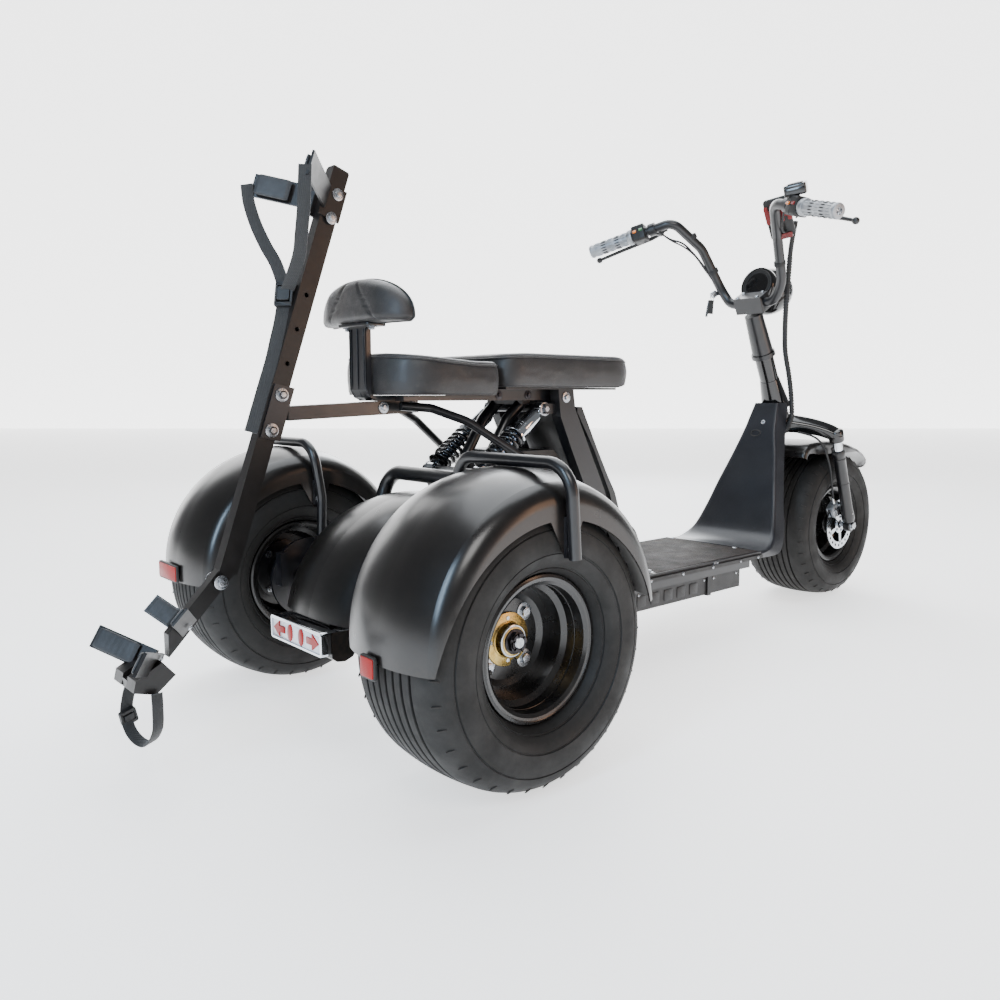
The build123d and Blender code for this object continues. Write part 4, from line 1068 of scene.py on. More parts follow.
def crown():
    o = G("crown_casting", "steering", ["gloss_black", "bolt_steel", "frame_satin"], "gloss_black", sharp=50)
    w = -SD
    o.lathe(ax_pt(-42), w, [(0, 15), (0, 28), (1.5, 30.5), (5, 31.5), (36, 31.5), (41, 29.5), (43, 25), (43.5, 14)], 48, 0, hint=(1, 0, 0))
    o.lathe(ax_pt(-40), SD, [(0, 13.6), (198, 13.6), (198, 10)], 24, 2)
    fwdv = Vector((SD.z, 0, -SD.x))
    for s in (1, -1):
        key = [((1428, s * 4, 530), 25, 22), ((1441, s * 30, 531), 25, 21.5), ((1462, s * 62, 526.5), 23.5, 19.5), ((1482, s * 92, 519), 22.5, 18.0),
               ((1496, s * 116, 510), 21.5, 17.2), ((1503, s * 130, 502.5), 20.5, 16.6), ((1506, s * 143, 495.5), 17.5, 14.0), ((1507, s * 151.5, 491.5), 11, 9.0), ((1507.4, s * 154.5, 490), 4, 3.5)]
        cs = crom([k[0] for k in key], 5)
        hw = crom([(k[1], k[2], 0) for k in key], 5)
        rings = []
        for i, c in enumerate(cs):
            t = (cs[min(i + 1, len(cs) - 1)] - cs[max(i - 1, 0)]).normalized()
            x = (fwdv - t * t.dot(fwdv)).normalized()
            z = t.cross(x) * s
            rings.append([c + x * a + z * b for a, b in sup(hw[i].x, hw[i].y, 32, 3.4)])
        o.rings(rings)
        # clamp boss round the stanchion with a pinch bolt
        top = LT + Vector((0, s * LEGY, 0))
        o.lathe(top - UL * 20, UL, [(0, 10), (1, 17), (3, 20.2), (6, 21.4), (32, 21.4), (36, 20), (37, 14)], 40, 0)
        o.hexbolt(top + Vector((20.5, s * 2, -9)), (0.95, 0, 0.3), 4.6, 4.2, False, 1)
    o.done(replaces=("fork_crown",))

    t = G("stanchions", "steering", ["chrome", "rubber_black"], "bright_steel")
    for s in (1, -1):
        top = LT + Vector((0, s * LEGY, 0))
        t.lathe(top + UL * 14, UL, [(0, 8), (0, 12.9), (38, 12.9), (74, 12.9), (74, 8)], 40, 0)
        t.lathe(top + UL * 45.5, UL, [(0, 13.2), (0.2, 16.2), (1.5, 17.6), (6, 18.2), (8, 18.2)], 40, 1)
    t.done(replaces=("fork_tubes",))

    f = G("slider_legs", "steering", ["frame_satin", "bolt_steel", "red_lens"], "satin_black_metal", sharp=35)
    Ln = (LE - LT).length
    for s in (1, -1):
        top = LT + Vector((0, s * LEGY, 0))
        f.lathe(top + UL * 48, UL, [(0, 13.2), (0, 17.6), (3, 18.2), (13, 18.2), (15, 17.0), (100, 16.8), (Ln - 100, 16.9), (Ln - 84, 18.4), (Ln - 70, 18.6), (Ln - 62, 16), (Ln - 60, 6)], 44, 0)
        c = Vector((WB, s * (LEGY - 2), FR))
        f.lathe(c, (0, s, 0), [(-10, 8), (-10, 17), (-8.5, 18.8), (8.5, 18.8), (10, 17), (10, 8)], 40, 0)
        a = 2.0
        f.lathe(Vector((WB, s * 143.2, FR)), (0, s, 0), [(-0.6, 7), (-0.6, 13.6), (0.9, 13.6), (1.2, 12)], 32, 1)
        f.hexbolt(Vector((WB, s * 143.6, FR)), (0, s, 0), 10.6, 7.4, False, 1)
        f.lathe(Vector((WB, s * 150, FR)), (0, s, 0), [(0, 7), (1.0, 6.6), (1.0, 0)] if s > 0 else [(0, 7), (1.0, 6.6), (1.0, 0)], 24, 1)
        # ribs of the slider's casting
        for d in (70, 150):
            f.lathe(top + UL * d, UL, [(0, 16.6), (0.6, 18.0), (3.4, 18.0), (4, 16.6)], 40, 0)
        # drain screw
        f.screw(top + UL * (Ln - 40) + Vector((0, s * 16.2, 0)), (0, s, 0), 4, 2, 1)
    f.lathe(Vector((WB, 0, FR)), (0, 1, 0), [(-124, 6.9), (124, 6.9)], 24, 1)
    f.done(replaces=("fork_sliders",))


crown()

# caliper: cast body with fins, bridge bolts and a domed cap on the outer face
c = Vector((WB, -103.5, FR))
an = math.radians(38)
cx = Vector((math.cos(an), 0, math.sin(an)))
cz = Vector((-math.sin(an), 0, math.cos(an)))


def cal_pt(x, y, z):
    return c + cx * x + Vector((0, y, 0)) + cz * z


o = G("caliper_body", "steering", ["cast_alu", "bolt_steel", "frame_satin", "spring_black"], "bare_aluminium", sharp=35)
for y0, y1 in ((-15, -3.2), (3.2, 11)):
    out = rounded([(-27, 49), (21, 49), (19, 81), (-25, 83)], 6, 4)
    ring0 = [cal_pt(a, y0 + 1.4, b) for a, b in [(-3 + (p.x + 3) * 0.93, 66 + (p.y - 66) * 0.93) for p in out]]
    ring1 = [cal_pt(p.x, y0 + 3, p.y) for p in out]
    ring2 = [cal_pt(p.x, y1 - 2.2, p.y) for p in out]
    ring3 = [cal_pt(-3 + (p.x + 3) * 0.93, y1 - 0.4, 66 + (p.y - 66) * 0.93) for p in out]
    o.rings([ring0, ring1, ring2, ring3], m=0)
out = rounded([(-23, -14.6), (-23, 10.6), (17, 10.6), (17, -14.6)], 5, 4)
o.rings([[cal_pt(p.x, p.y, z) for p in out] for z in (79.2, 82.4)] + [[cal_pt(-3 + (p.x + 3) * 0.9, p.y * 0.88, 84) for p in out]], m=0)
for x in (-17, 10):
    o.hexbolt(cal_pt(x, -15.2 + 1.2, 73), (0, -1, 0), 4.6, 4, True, 1)
for k in range(4):
    x = -14 + k * 8
    o.prism(cal_pt(x, -14.4, 60), (0, -1, 0), [(-1.4, -8), (1.4, -8), (1.4, 8), (-1.4, 8)], 0, 2.4, bev=0.6, m=0, hint=tuple(cx))
o.lathe(cal_pt(-4, -14.2, 60), (0, -1, 0), [(0, 11), (1.2, 10.8), (3.6, 9.6), (4.2, 8), (4.4, 0)], 32, 3)
o.done(replaces=("brake_caliper",))

# brake disc: bevelled rotor with drilled holes stays from the model, rivets added
o = G("disc_rivets", "front_wheel", ["bolt_steel", "bright_steel"], "bright_steel")
for k in range(5):
    a = math.radians(72 * k + 10)
    o.lathe(Vector((WB + math.cos(a) * 57, -105.2, FR - math.sin(a) * 57)), (0, -1, 0), [(0, 0), (0, 4.2), (0.8, 4.0), (1.1, 0)], 18, 0)
o.done()


# ---------------------------------------------------------------------------
# tail lamp
# ---------------------------------------------------------------------------
o = G("tail_lamp_unit", "frame", ["chrome", "lamp_white", "red_lens", "mould_black", "bolt_steel"], "red_lens", sharp=32)
rearx = (-1, 0, 0)


def rear_pt(x, y, z):
    return Vector((x, y, z))


def rear_prism(x0, x1, outline, m, bev=0.6):
    """outline in (y, z), going back from x0 to x1"""
    cyy = sum(p[0] for p in outline) / len(outline)
    czz = sum(p[1] for p in outline) / len(outline)

    def rg(x, ins):
        r = []
        for y, z in outline:
            L = math.hypot(y - cyy, z - czz) or 1
            k = (L - ins) / L
            r.append(Vector((x, cyy + (y - cyy) * k, czz + (z - czz) * k)))
        return r
    o.rings([rg(x0, 0), rg(x1 + bev, 0), rg(x1 + bev * 0.3, bev * 0.4), rg(x1, bev)], m=m)


def frame_ring(x0, x1, y, z0, z1, w, m):
    a = rounded([(-y, z0), (y, z0), (y, z1), (-y, z1)], 6, 5)
    b = rounded([(-y + w, z0 + w), (y - w, z0 + w), (y - w, z1 - w), (-y + w, z1 - w)], 3.5, 5)
    rings = [[Vector((x0, p.x, p.y)) for p in a], [Vector((x1 + 1.4, p.x, p.y)) for p in a], [Vector((x1, p.x * 0.992, 186.5 + (p.y - 186.5) * 0.97)) for p in a],
             [Vector((x1, p.x, p.y)) for p in b], [Vector((x1 + 3.5, p.x, p.y)) for p in b]]
    o.rings(rings, m=m, cap1=False)


rear_prism(-151, -160, [tuple(p) for p in rounded([(-91, 165), (91, 165), (91, 208), (-91, 208)], 8, 5)], 3)
frame_ring(-158, -171.6, 92.5, 164.5, 208.5, 4.4, 0)
rear_prism(-160, -169.4, [tuple(p) for p in rounded([(-88.4, 168.6), (88.4, 168.6), (88.4, 204.4), (-88.4, 204.4)], 3.5, 5)], 1, 0.5)
for s in (1, -1):
    arrow = [(s * 82, 186.5), (s * 60, 201), (s * 60, 192.5), (s * 40, 192.5), (s * 40, 180.5), (s * 60, 180.5), (s * 60, 172)]
    rear_prism(-169, -171.6, arrow, 2, 0.5)
    ov = [(s * 20 + 9 * math.cos(2 * math.pi * k / 32), 186.5 + 15.5 * math.sin(2 * math.pi * k / 32)) for k in range(32)]
    rear_prism(-169, -171.8, ov, 2, 0.9)
    ov2 = [(s * 20 + 10.4 * math.cos(2 * math.pi * k / 32), 186.5 + 16.9 * math.sin(2 * math.pi * k / 32)) for k in range(32)]
    rear_prism(-168.8, -170.0, ov2, 0, 0.2)
# chrome hood over the lamp
hood = [(-171.8, 206.6), (-168, 209.6), (-150, 210), (-128, 210.2), (-106, 210)]
hp = crom([Vector((x, 0, z)) for x, z in hood], 5)
rg = []
for p in hp:
    rg.append([p + Vector((0, y, dz - 0.004 * (abs(y) / 93.0) ** 8 * 900)) for y, dz in
               [(-92.6, -1.2), (-92.6, -0.1), (-88, 0), (-40, 0), (0, 0), (40, 0), (88, 0), (92.6, -0.1), (92.6, -1.2), (88, -2.2), (0, -2.2), (-88, -2.2)]])
o.rings(rg, m=0)
o.done(replaces=("tail_lamp",))

# reflectors with a moulded rim
o = G("reflector_pair", "frame", ["red_lens", "mould_black", "bolt_steel"], "red_lens", sharp=32)
for y0, y1, z0, z1 in ((348, 444, 234, 270), (-376, -338, 212, 247)):
    rear_prism(-243.6, -248.2, [tuple(p) for p in rounded([(y0, z0), (y1, z0), (y1, z1), (y0, z1)], 5, 5)], 1, 0.8)
    rear_prism(-246, -249.8, [tuple(p) for p in rounded([(y0 + 3, z0 + 3), (y1 - 3, z0 + 3), (y1 - 3, z1 - 3), (y0 + 3, z1 - 3)], 3, 5)], 0, 0.8)
o.rings([[Vector((x, y, z)) for y, z in ((380, 238), (400, 238), (400, 262), (380, 262))] for x in (-244.5, -241.4)], m=1)
o.rings([[Vector((x, y, z)) for y, z in ((-362, 236), (-350, 236), (-350, 246), (-362, 246))] for x in (-244.5, -241.4)], m=1)
o.done(replaces=("reflectors",))


# ---------------------------------------------------------------------------
# shock absorbers: chrome cans, open coils, blued rods, eyes with rubber bushes
# ---------------------------------------------------------------------------
o = G("shock_bodies", "frame", ["chrome", "blue_steel", "rubber_black", "bolt_steel", "gloss_black"], "bare_aluminium", sharp=32)
sp = G("shock_coils", "frame", ["spring_black"], "grip_rubber", sharp=60)
for s in (1, -1):
    a, b = Vector((200, s * 76, 462)), Vector((366, s * 76, 586))
    d = (b - a).normalized()
    L = (b - a).length
    o.lathe(a + d * 4, d, [(0, 6), (0, 10), (12, 10.6), (14, 9.2), (60, 9.2), (116, 9.0)], 36, 1)
    o.lathe(a + d * 12, d, [(0, 10), (0.8, 22), (2, 24.6), (5.6, 24.6), (6.6, 22), (7.2, 18), (16, 16.8), (17, 10)], 44, 4)
    o.lathe(a + d * 114, d, [(0, 12), (0, 22), (1.4, 24.6), (4.6, 24.6), (6, 19.4), (9, 18.2), (30, 18.0), (66, 18.0), (71, 16.6), (74, 12), (76, 8.8), (90, 8.6)], 44, 0)
    for kk in (20, 26):
        o.lathe(a + d * (118 + kk), d, [(0, 17.9), (0.5, 18.5), (2.4, 18.5), (3, 17.9)], 44, 0)
    for e in (a, b):
        o.lathe(e, (0, 1, 0), [(-11, 8.4), (-11, 12.6), (-9.8, 13.8), (9.8, 13.8), (11, 12.6), (11, 8.4)], 36, 0, closed=True)
        o.lathe(e, (0, 1, 0), [(-12.4, 7.2), (-12.4, 8.2), (12.4, 8.2), (12.4, 7.2)], 28, 2, closed=True)
        o.hexbolt(e + Vector((0, s * 12.6, 0)), (0, s, 0), 7.6, 5.4, True, 3)
    u, v, w = basis(d)
    pts = []
    turns = 6.6
    for k in range(int(turns * 26) + 1):
        t = k / (turns * 26)
        ang = 2 * math.pi * turns * t
        ease = min(1.0, t * 9, (1 - t) * 9)
        z = 24 + (112 - 24) * t
        pts.append(a + d * z + (u * math.cos(ang) + v * math.sin(ang)) * 20.6)
    sp.tube(pts, 4.1, 10, 0)
o.done(replaces=("shock_absorbers",))
sp.done(replaces=("shock_springs",))



# ---------------------------------------------------------------------------
# bar, grips, levers, switches, phone clamp, lamp
# ---------------------------------------------------------------------------
GD = Vector((1006 - 1096, 374 - 156, 1026 - 1090)).normalized()


def bar_pt(d, s, off=(0, 0, 0)):
    return Vector((1006 - GD.x * d + off[0], s * (374 - GD.y * d) + off[1], 1026 - GD.z * d + off[2]))


def bar_dir(s):
    return Vector((GD.x, s * GD.y, GD.z))


def grips():
    for name, s in (("grip_left", 1), ("grip_right", -1)):
        h = G(name, "steering", ["cast_alu", "mould_black", "bright_steel"], "grip_rubber", sharp=40)
        d = bar_dir(s)
        p0 = bar_pt(126, s)
        h.lathe(p0, d, [(0, 12.9), (0, 20.6), (3, 21.4), (9, 21.4), (13, 19.6), (14, 17.2), (118, 17.0), (120, 18.4), (125, 18.6), (128.6, 16.4),
                        (129.6, 12), (129.6, 8), (127.6, 7.4), (127.6, 0.1)], 48, 0)
        u, v, w = basis(d)
        for k in range(14):
            a = 2 * math.pi * k / 14
            for seg in range(5):
                x0 = 16 + seg * 20.4
                pts = [p0 + d * x + (u * math.cos(a) + v * math.sin(a)) * 17.3 for x in (x0, x0 + 3, x0 + 10, x0 + 16.5)]
                h.tube(pts, 1.5, 6, 1 if seg % 2 else 0, radii=[0.5, 1.7, 1.7, 0.5])
        for k in range(6):
            a = 2 * math.pi * k / 6
            c = p0 + d * 128.6
            h.tube([c + (u * math.cos(a) + v * math.sin(a)) * r for r in (3, 8, 13.6)], 1.2, 6, 2, radii=[1.4, 1.1, 0.6])
        h.done()
    a = bpy.data.objects["grip_left"]
    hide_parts("grips")
    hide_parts("grips")


grips()

o = G("lever_pair", "steering", ["frame_satin", "bolt_steel", "cast_alu", "rubber_black"], "bare_aluminium", sharp=35)
for s in (1, -1):
    d = bar_dir(s)
    c = bar_pt(194, s)
    o.lathe(c, d, [(0, 12.9), (0, 17.2), (1, 18), (18, 18), (19, 17.2), (19, 12.9)], 36, 0)
    # perch: tapered arm from the clamp to the pivot
    key = [(bar_pt(184, s, (13, 0, 0)), 8, 9), (bar_pt(184, s, (26, 0, -3)), 7, 8.5), (bar_pt(184, s, (36, 0, -5)), 7.5, 7.6), (bar_pt(183, s, (46, 0, -6)), 6, 6)]
    rings = []
    for p, a, b in key:
        x = bar_dir(s)
        z = Vector((0, 0, 1))
        rings.append([p + x * q[0] + z * q[1] for q in sup(a, b, 20, 3.2)])
    o.rings(rings, m=0)
    o.screw(bar_pt(181, s, (40, 0, 2.6)), (0, 0, 1), 4.4, 2.6, 1)
    mid = bar_pt(120, s, (50, 0, -8))
    tip = bar_pt(-18, s, (58, 0, -12))
    cs = crom([bar_pt(183, s, (40, 0, -5)), bar_pt(150, s, (49, 0, -7)), mid, bar_pt(60, s, (52.5, 0, -9.5)), bar_pt(10, s, (56, 0, -11)), tip], 6)
    rings = []
    n = len(cs)
    for i, p in enumerate(cs):
        t = (cs[min(i + 1, n - 1)] - cs[max(i - 1, 0)]).normalized()
        z = Vector((0, 0, 1))
        z = (z - t * t.dot(z)).normalized()
        x = t.cross(z)
        f = i / (n - 1)
        a = 6.2 - 2.0 * f
        b = 4.4 - 1.0 * f
        rings.append([p + x * q[0] + z * q[1] for q in sup(b, a, 18, 2.4)])
    o.rings(rings, m=0)
    rr = []
    o.lathe(tip - (cs[-1] - cs[-3]).normalized() * 7, (cs[-1] - cs[-3]), [(0, 4), (1, 6), (4, 8.1), (8, 8.5), (12, 7.4), (14.6, 4.6), (15.4, 0)], 28, 0)
    # cable nipple boot going inboard
    o.lathe(bar_pt(188, s, (34, 0, -4)), (0.1, -s * 0.95, 0.2), [(0, 3), (0, 5.4), (8, 5.2), (9, 4.2), (20, 3.4), (21, 0)], 20, 3)
o.done(replaces=("brake_levers",))

o = G("switch_units", "steering", ["mould_black", "red_box", "amber_part", "green_part", "bolt_steel", "gloss_black"], "dark_plastic", sharp=35)
for s in (1, -1):
    d = bar_dir(s)
    u = Vector((1, 0, 0))
    u = (u - d * d.dot(u)).normalized()
    v = d.cross(u) * s
    c = bar_pt(166, s)
    prof = rounded([(-22, -23), (22, -23), (22, 23), (-22, 23)], 9, 5)
    rings = []
    for z, k in ((0, 0.9), (1.6, 0.985), (4, 1.0), (16.6, 1.0), (17.2, 0.975), (18.4, 0.975), (19, 1.0), (32, 1.0), (34.6, 0.985), (36, 0.9)):
        rings.append([c + d * z + u * p.x * k + v * p.y * k for p in prof])
    o.rings(rings, m=0)
    # buttons on the rider's side
    up = Vector((0, 0, 1))
    back = (Vector((-0.86, 0, 0.5)) - d * d.dot(Vector((-0.86, 0, 0.5)))).normalized()
    for j, (z, q, m) in enumerate(((9, 9, 2 if s < 0 else 1), (9, -7, 3), (27, 7, 1), (27, -8, 2 if s > 0 else 0))):
        sidev = d.cross(back)
        p = c + d * z + back * 20.2 + sidev * q
        o.prism(p, back, [tuple(t) for t in rounded([(-5.2, -4), (5.2, -4), (5.2, 4), (-5.2, 4)], 1.6, 3)], 0, 4.2, bev=0.9, m=m, hint=tuple(d))
    for q in (-15, 15):
        o.screw(c + d * 10 - back * 21.5 + d.cross(back) * q, tuple(-back), 3.4, 1.8, 4)
# square switch on its stalk above the right side
cb = bar_pt(160, -1, (2, 0, 40))
R = (Matrix.Rotation(math.radians(-20), 3, "Y") @ Matrix.Rotation(math.radians(22), 3, "Z"))
prof = rounded([(-23, -26), (23, -26), (23, 26), (-23, 26)], 6, 5)
o.rings([[cb + R @ Vector((p.x * k, p.y * k, z)) for p in prof] for z, k in ((-13, 0.93), (-11.6, 0.985), (-9, 1), (4.4, 1), (5, 0.985), (6, 0.985), (6.6, 1), (11.4, 0.985), (13, 0.93))], m=5)
o.prism(cb + R @ Vector((0, 0, 12.6)), tuple(R @ Vector((0, 0, 1))), [tuple(t) for t in rounded([(-15, -17), (15, -17), (15, 17), (-15, 17)], 4, 4)], 0, 1.6, bev=0.5, m=0, hint=tuple(R @ Vector((1, 0, 0))))
o.tube([bar_pt(150, -1, (2, 0, 14)), bar_pt(153, -1, (2, 0, 22)), bar_pt(157, -1, (2, 0, 30))], 6.6, 16, 0)
o.done(replaces=("switch_boxes",))

# phone clamp: black back plate, red side jaws and foot, ball arm
ph = Matrix.Translation(Vector((1164, -132, 1068))) @ (Matrix.Rotation(math.radians(-30), 4, "Y") @ Matrix.Rotation(math.radians(20), 4, "Z"))
# same turn order as the solid: about Y, then Z
o = G("phone_clamp", "steering", ["mould_black", "red_box", "bolt_steel", "rubber_black"], "dark_plastic", sharp=35)


def pp(x, y, z):
    return (ph @ Vector((x, y, z)))


def pbox(x0, x1, y0, y1, z0, z1, r, m, bev=1.0):
    out = rounded([(y0, z0), (y1, z0), (y1, z1), (y0, z1)], r, 4)
    cy, cz = (y0 + y1) / 2, (z0 + z1) / 2
    ks = ((x0, 0.95), (x0 + bev, 1.0), (x1 - bev, 1.0), (x1, 0.95))
    o.rings([[pp(x, cy + (p.x - cy) * k, cz + (p.y - cz) * k) for p in out] for x, k in ks], m=m)


pbox(-8, 2, -31, 31, -50, 53, 7, 0)
pbox(2, 7.5, -25, 25, -42, 45, 5, 3)
for s in (1, -1):
    pbox(-13, 8, s * 27 - 5, s * 27 + 5, -8, 38, 4, 1)
    pbox(-14, -7, s * 14 - 12, s * 14 + 12, 4, 26, 3, 1)
    pbox(6.4, 8.8, s * 27 - 3, s * 27 + 3, 2, 28, 2, 3)
pbox(-12, 8, -24, 24, -54, -40, 4, 1)
pbox(-14, -7, -13, 15, -8, 42, 4, 1)
pbox(-15, -13, -8, 10, 2, 32, 3, 3)
pbox(-20, -8, -10, 10, -22, 2, 4, 0)
o.lathe(pp(-14, 0, -10), tuple((ph.to_3x3() @ Vector((-1, 0, 0)))), [(0, 9), (4, 11), (9, 11), (12, 9), (13, 0)], 28, 0)
o.done(replaces=("phone_holder",))

# lamp: domed shell with a bright bezel and glass; round dial at the back
o = G("head_lamp", "steering", ["gloss_black", "chrome", "lamp_glass", "mould_black", "lamp_white", "bolt_steel"], "gloss_black", sharp=40)
la = Vector((math.sin(math.radians(76)), 0, math.cos(math.radians(76))))
lc = Vector((1335, 0, 905))
o.lathe(lc, la, [(-36, 8), (-36, 44), (-34.6, 50), (-30, 56), (-22, 60.6), (-10, 63.2), (6, 64), (20, 63), (27, 60.5), (31, 57)], 64, 0)
o.lathe(lc, la, [(26, 61), (29, 61.4), (33, 59.2), (34.6, 55.6), (33, 52.8), (30, 52.4)], 64, 1)
o.lathe(lc, la, [(30, 53), (33.0, 40), (34.4, 20), (34.8, 0)], 64, 2)
da = Vector((-math.sin(math.radians(104)), 0, -math.cos(math.radians(104))))
dc = Vector((1289, 0, 918))
o.lathe(dc, da, [(-14, 40), (-12, 51), (-4, 52), (8, 51.4), (12.4, 49), (13, 46), (11, 44.6), (10, 44)], 56, 0)
o.lathe(dc, da, [(10.2, 45), (11.6, 45.2), (12.6, 43.6), (11.4, 42.2)], 56, 3)
o.lathe(dc, da, [(10.0, 43), (11.4, 34), (12.4, 20), (12.8, 0)], 56, 0)
o.tube([(1262, 0, 884), (1290, 0, 888), (1316, 0, 893)], 12.6, 20, 3)
for s in (1, -1):
    o.hexbolt(lc + Vector((-4, s * 63.4, -2)), (0, s, 0), 6, 4.6, True, 5)
    o.ribbon([lc + Vector((-4, s * 62, -2)), lc + Vector((-30, s * 50, -26)), (1284, s * 30, 874), (1270, s * 20, 872)], (0.3, 0, 0.95), 20, 3, 3)
o.done(replaces=("headlamp",))

# bar clamp: split block with four cap screws, bright joint, indicator cap
o = G("bar_clamp_trim", "steering", ["bolt_steel", "frame_satin", "gloss_black", "rubber_black"], "satin_black_metal")
cc = Vector((1257, 0, 869))
Rm = Matrix.Rotation(math.radians(-28), 3, "Y")
for x in (-15.5, 15.5):
    for y in (-30, 30):
        o.screw(cc + Rm @ Vector((x, y, 23)), tuple(Rm @ Vector((0, 0, 1))), 5.2, 4.4, 0)
for s in (1, -1):
    rr = rounded([(-21.6, -22.6), (21.6, -22.6), (21.6, 22.6), (-21.6, 22.6)], 6, 4)
    o.rings([[cc + Rm @ Vector((p.x * k, s * y, p.y * k)) for p in rr] for y, k in ((41, 1.005), (42.6, 0.99), (43.4, 0.94))], m=1)
# steering column collar rings and joint ring
for al, r in ((159.5, 31.6), (170.2, 31.4)):
    cr = ax_pt(al)
    uu, vv, ww = basis(SD)
    o.tube([cr + (uu * math.cos(t) + vv * math.sin(t)) * r for t in (2 * math.pi * k / 72 for k in range(72))], 1.1, 8, 2, closed=True)
# rubber clips that hold the switch leads on the bar
for s in (1, -1):
    for q in ((1218, 105, 962), (1150, 132, 1052)):
        p = Vector((q[0], s * q[1], q[2]))
        dd = Vector((-69, s * 22, 110)).normalized()
        o.lathe(p - dd * 6, dd, [(0, 12.6), (0, 14.4), (1, 15), (11, 15), (12, 14.4), (12, 12.6)], 28, 3, closed=True)
o.done()

# ignition key on its bracket under the left riser, with fob and ring
o = G("key_and_bracket", "steering", ["mould_black", "bright_steel", "bolt_steel"], "dark_plastic")
kp = Vector((1238, 112, 902))
o.lathe(kp, (-0.6, 0.3, -0.5), [(-6, 0), (-6, 9), (0, 10), (8, 10), (10, 8), (10, 0)], 28, 2)
o.ribbon([(1249, 92, 908), (1244, 100, 904), kp], (0, 0.3, 0.9), 12, 3, 0)
ring = Vector((1230, 114, 890))
o.tube([ring + Vector((math.cos(t) * 7, math.sin(t) * 3, math.sin(t) * 7)) for t in (2 * math.pi * k / 24 for k in range(24))], 0.8, 6, 1, closed=True)
o.ribbon([(1229, 115, 884), (1228, 116, 872), (1228, 117, 852), (1227, 117, 846)], (0.7, -0.7, 0), 15, 6, 0)
o.ribbon([(1226, 120, 884), (1223, 122, 866), (1221, 124, 846), (1220, 125, 838)], (0.7, -0.7, 0), 7, 1.6, 1)
o.done()


# ---------------------------------------------------------------------------
# bag rack: pads with ribs, bolts, straps with buckles
# ---------------------------------------------------------------------------
MT, MB = Vector((-61.76, 0, 1006)), Vector((-297, 0, 318))
MD = (MT - MB).normalized()


def mast_pt(z):
    k = (z - MB.z) / (MT.z - MB.z)
    return MB.lerp(MT, k)


tilt = math.atan2(MD.x, MD.z)
top = Matrix.Translation(Vector((-81, 0, 952))) @ Matrix.Rotation(tilt, 4, "Y")

o = G("upper_pads", "frame", ["pad_grey", "mast_grey", "bolt_steel"], "pad_grey", sharp=45)
for s in (1, -1):
    a, b = Vector((-50, s * 48, 0)), Vector((-94, s * 93, 0))
    sh = Vector((-5.0, -s * 4.6, 0))
    d = (b - a).normalized()
    L = (b - a).length
    nrm = Vector((d.y * s, -d.x * s, 0))
    rings = []
    steps = 44
    for i in range(steps + 1):
        t = i / steps
        rib = 1.1 * abs(math.sin(math.pi * t * 9)) ** 0.6
        endk = min(1.0, math.sin(math.pi * min(max(t, 0.01), 0.99)) * 3.2) ** 0.5
        c0 = a + sh + d * (L * t)
        ring = []
        for p, q in sup(18.4, 4.3, 24, 4.0):
            q2 = q * endk * (1.0 + (rib * 0.22 if q > 0 else 0.0))
            ring.append(top @ (c0 + Vector((0, 0, 1)) * (p * (0.86 + 0.14 * endk)) + nrm * q2))
        rings.append(ring)
    o.rings(rings, m=0)
ob = o.done(replaces=("cradle_pads",), padded=0.95)

o = G("rack_hardware", "frame", ["bolt_steel", "mast_grey", "mould_black", "dark_nut"], "mast_metal")
for s in (1, -1):
    for z in (12, -32):
        o.hexbolt(top @ Vector((4, s * 17.2, z)), (0, s, 0), 5.6, 4.2, True, 0)
    for z in (615, 555):
        c0 = mast_pt(z)
        o.hexbolt(Vector((c0.x + 4, s * 16.8, z)), (0, s, 0), 6.4, 5.6, True, 0)
    o.hexbolt((-312, s * 17.2, 306), (0, s, 0), 6.4, 5.0, True, 0)
    for x, z in ((83, 594), (16, 591.5)):
        o.hexbolt((x, s * 15.2, z), (0, s, 0), 5.8, 4.8, True, 0)
# plastic end cap of the mast and of the rack bar
u, v, w = basis(MD, (0, 1, 0))
capo = rounded([(-12.4, -15.9), (12.4, -15.9), (12.4, 15.9), (-12.4, 15.9)], 3, 4)
o.prism(MT - MD * 0.2, tuple(MD), [tuple(p) for p in capo], 0, 3.0, bev=1.0, m=2, hint=(0, 1, 0))
bd = Vector((-274, 0, -11)).normalized()
capb = rounded([(-12.2, -14.9), (12.2, -14.9), (12.2, 14.9), (-12.2, 14.9)], 3, 4)
o.prism(Vector((-177.5, 0, 583)), tuple(bd), [tuple(p) for p in capb], 0, 3.0, bev=1.0, m=2, hint=(0, 0, 1))
# bolt rows on the mast's outer walls in line with its holes: rims round the holes
for z in (786, 727, 668):
    for s in (1, -1):
        c0 = mast_pt(z)
        o.lathe(c0 + Vector((0, s * 12.5, 0)), (0, s, 0), [(-0.2, 4.0), (-0.2, 5.6), (0.4, 5.4), (0.4, 4.1)], 24, 1, closed=True)
o.done()

# base cradle pads and their bolts
low_t = Matrix.Translation(Vector((-372, 0, 243))) @ Matrix.Rotation(math.radians(45), 4, "Y")
base = Matrix.Translation(Vector((-424, 0, 190))) @ Matrix.Rotation(math.radians(30), 4, "Y")
o = G("lower_pads", "frame", ["pad_grey", "bolt_steel", "rubber_black"], "pad_grey", sharp=45)


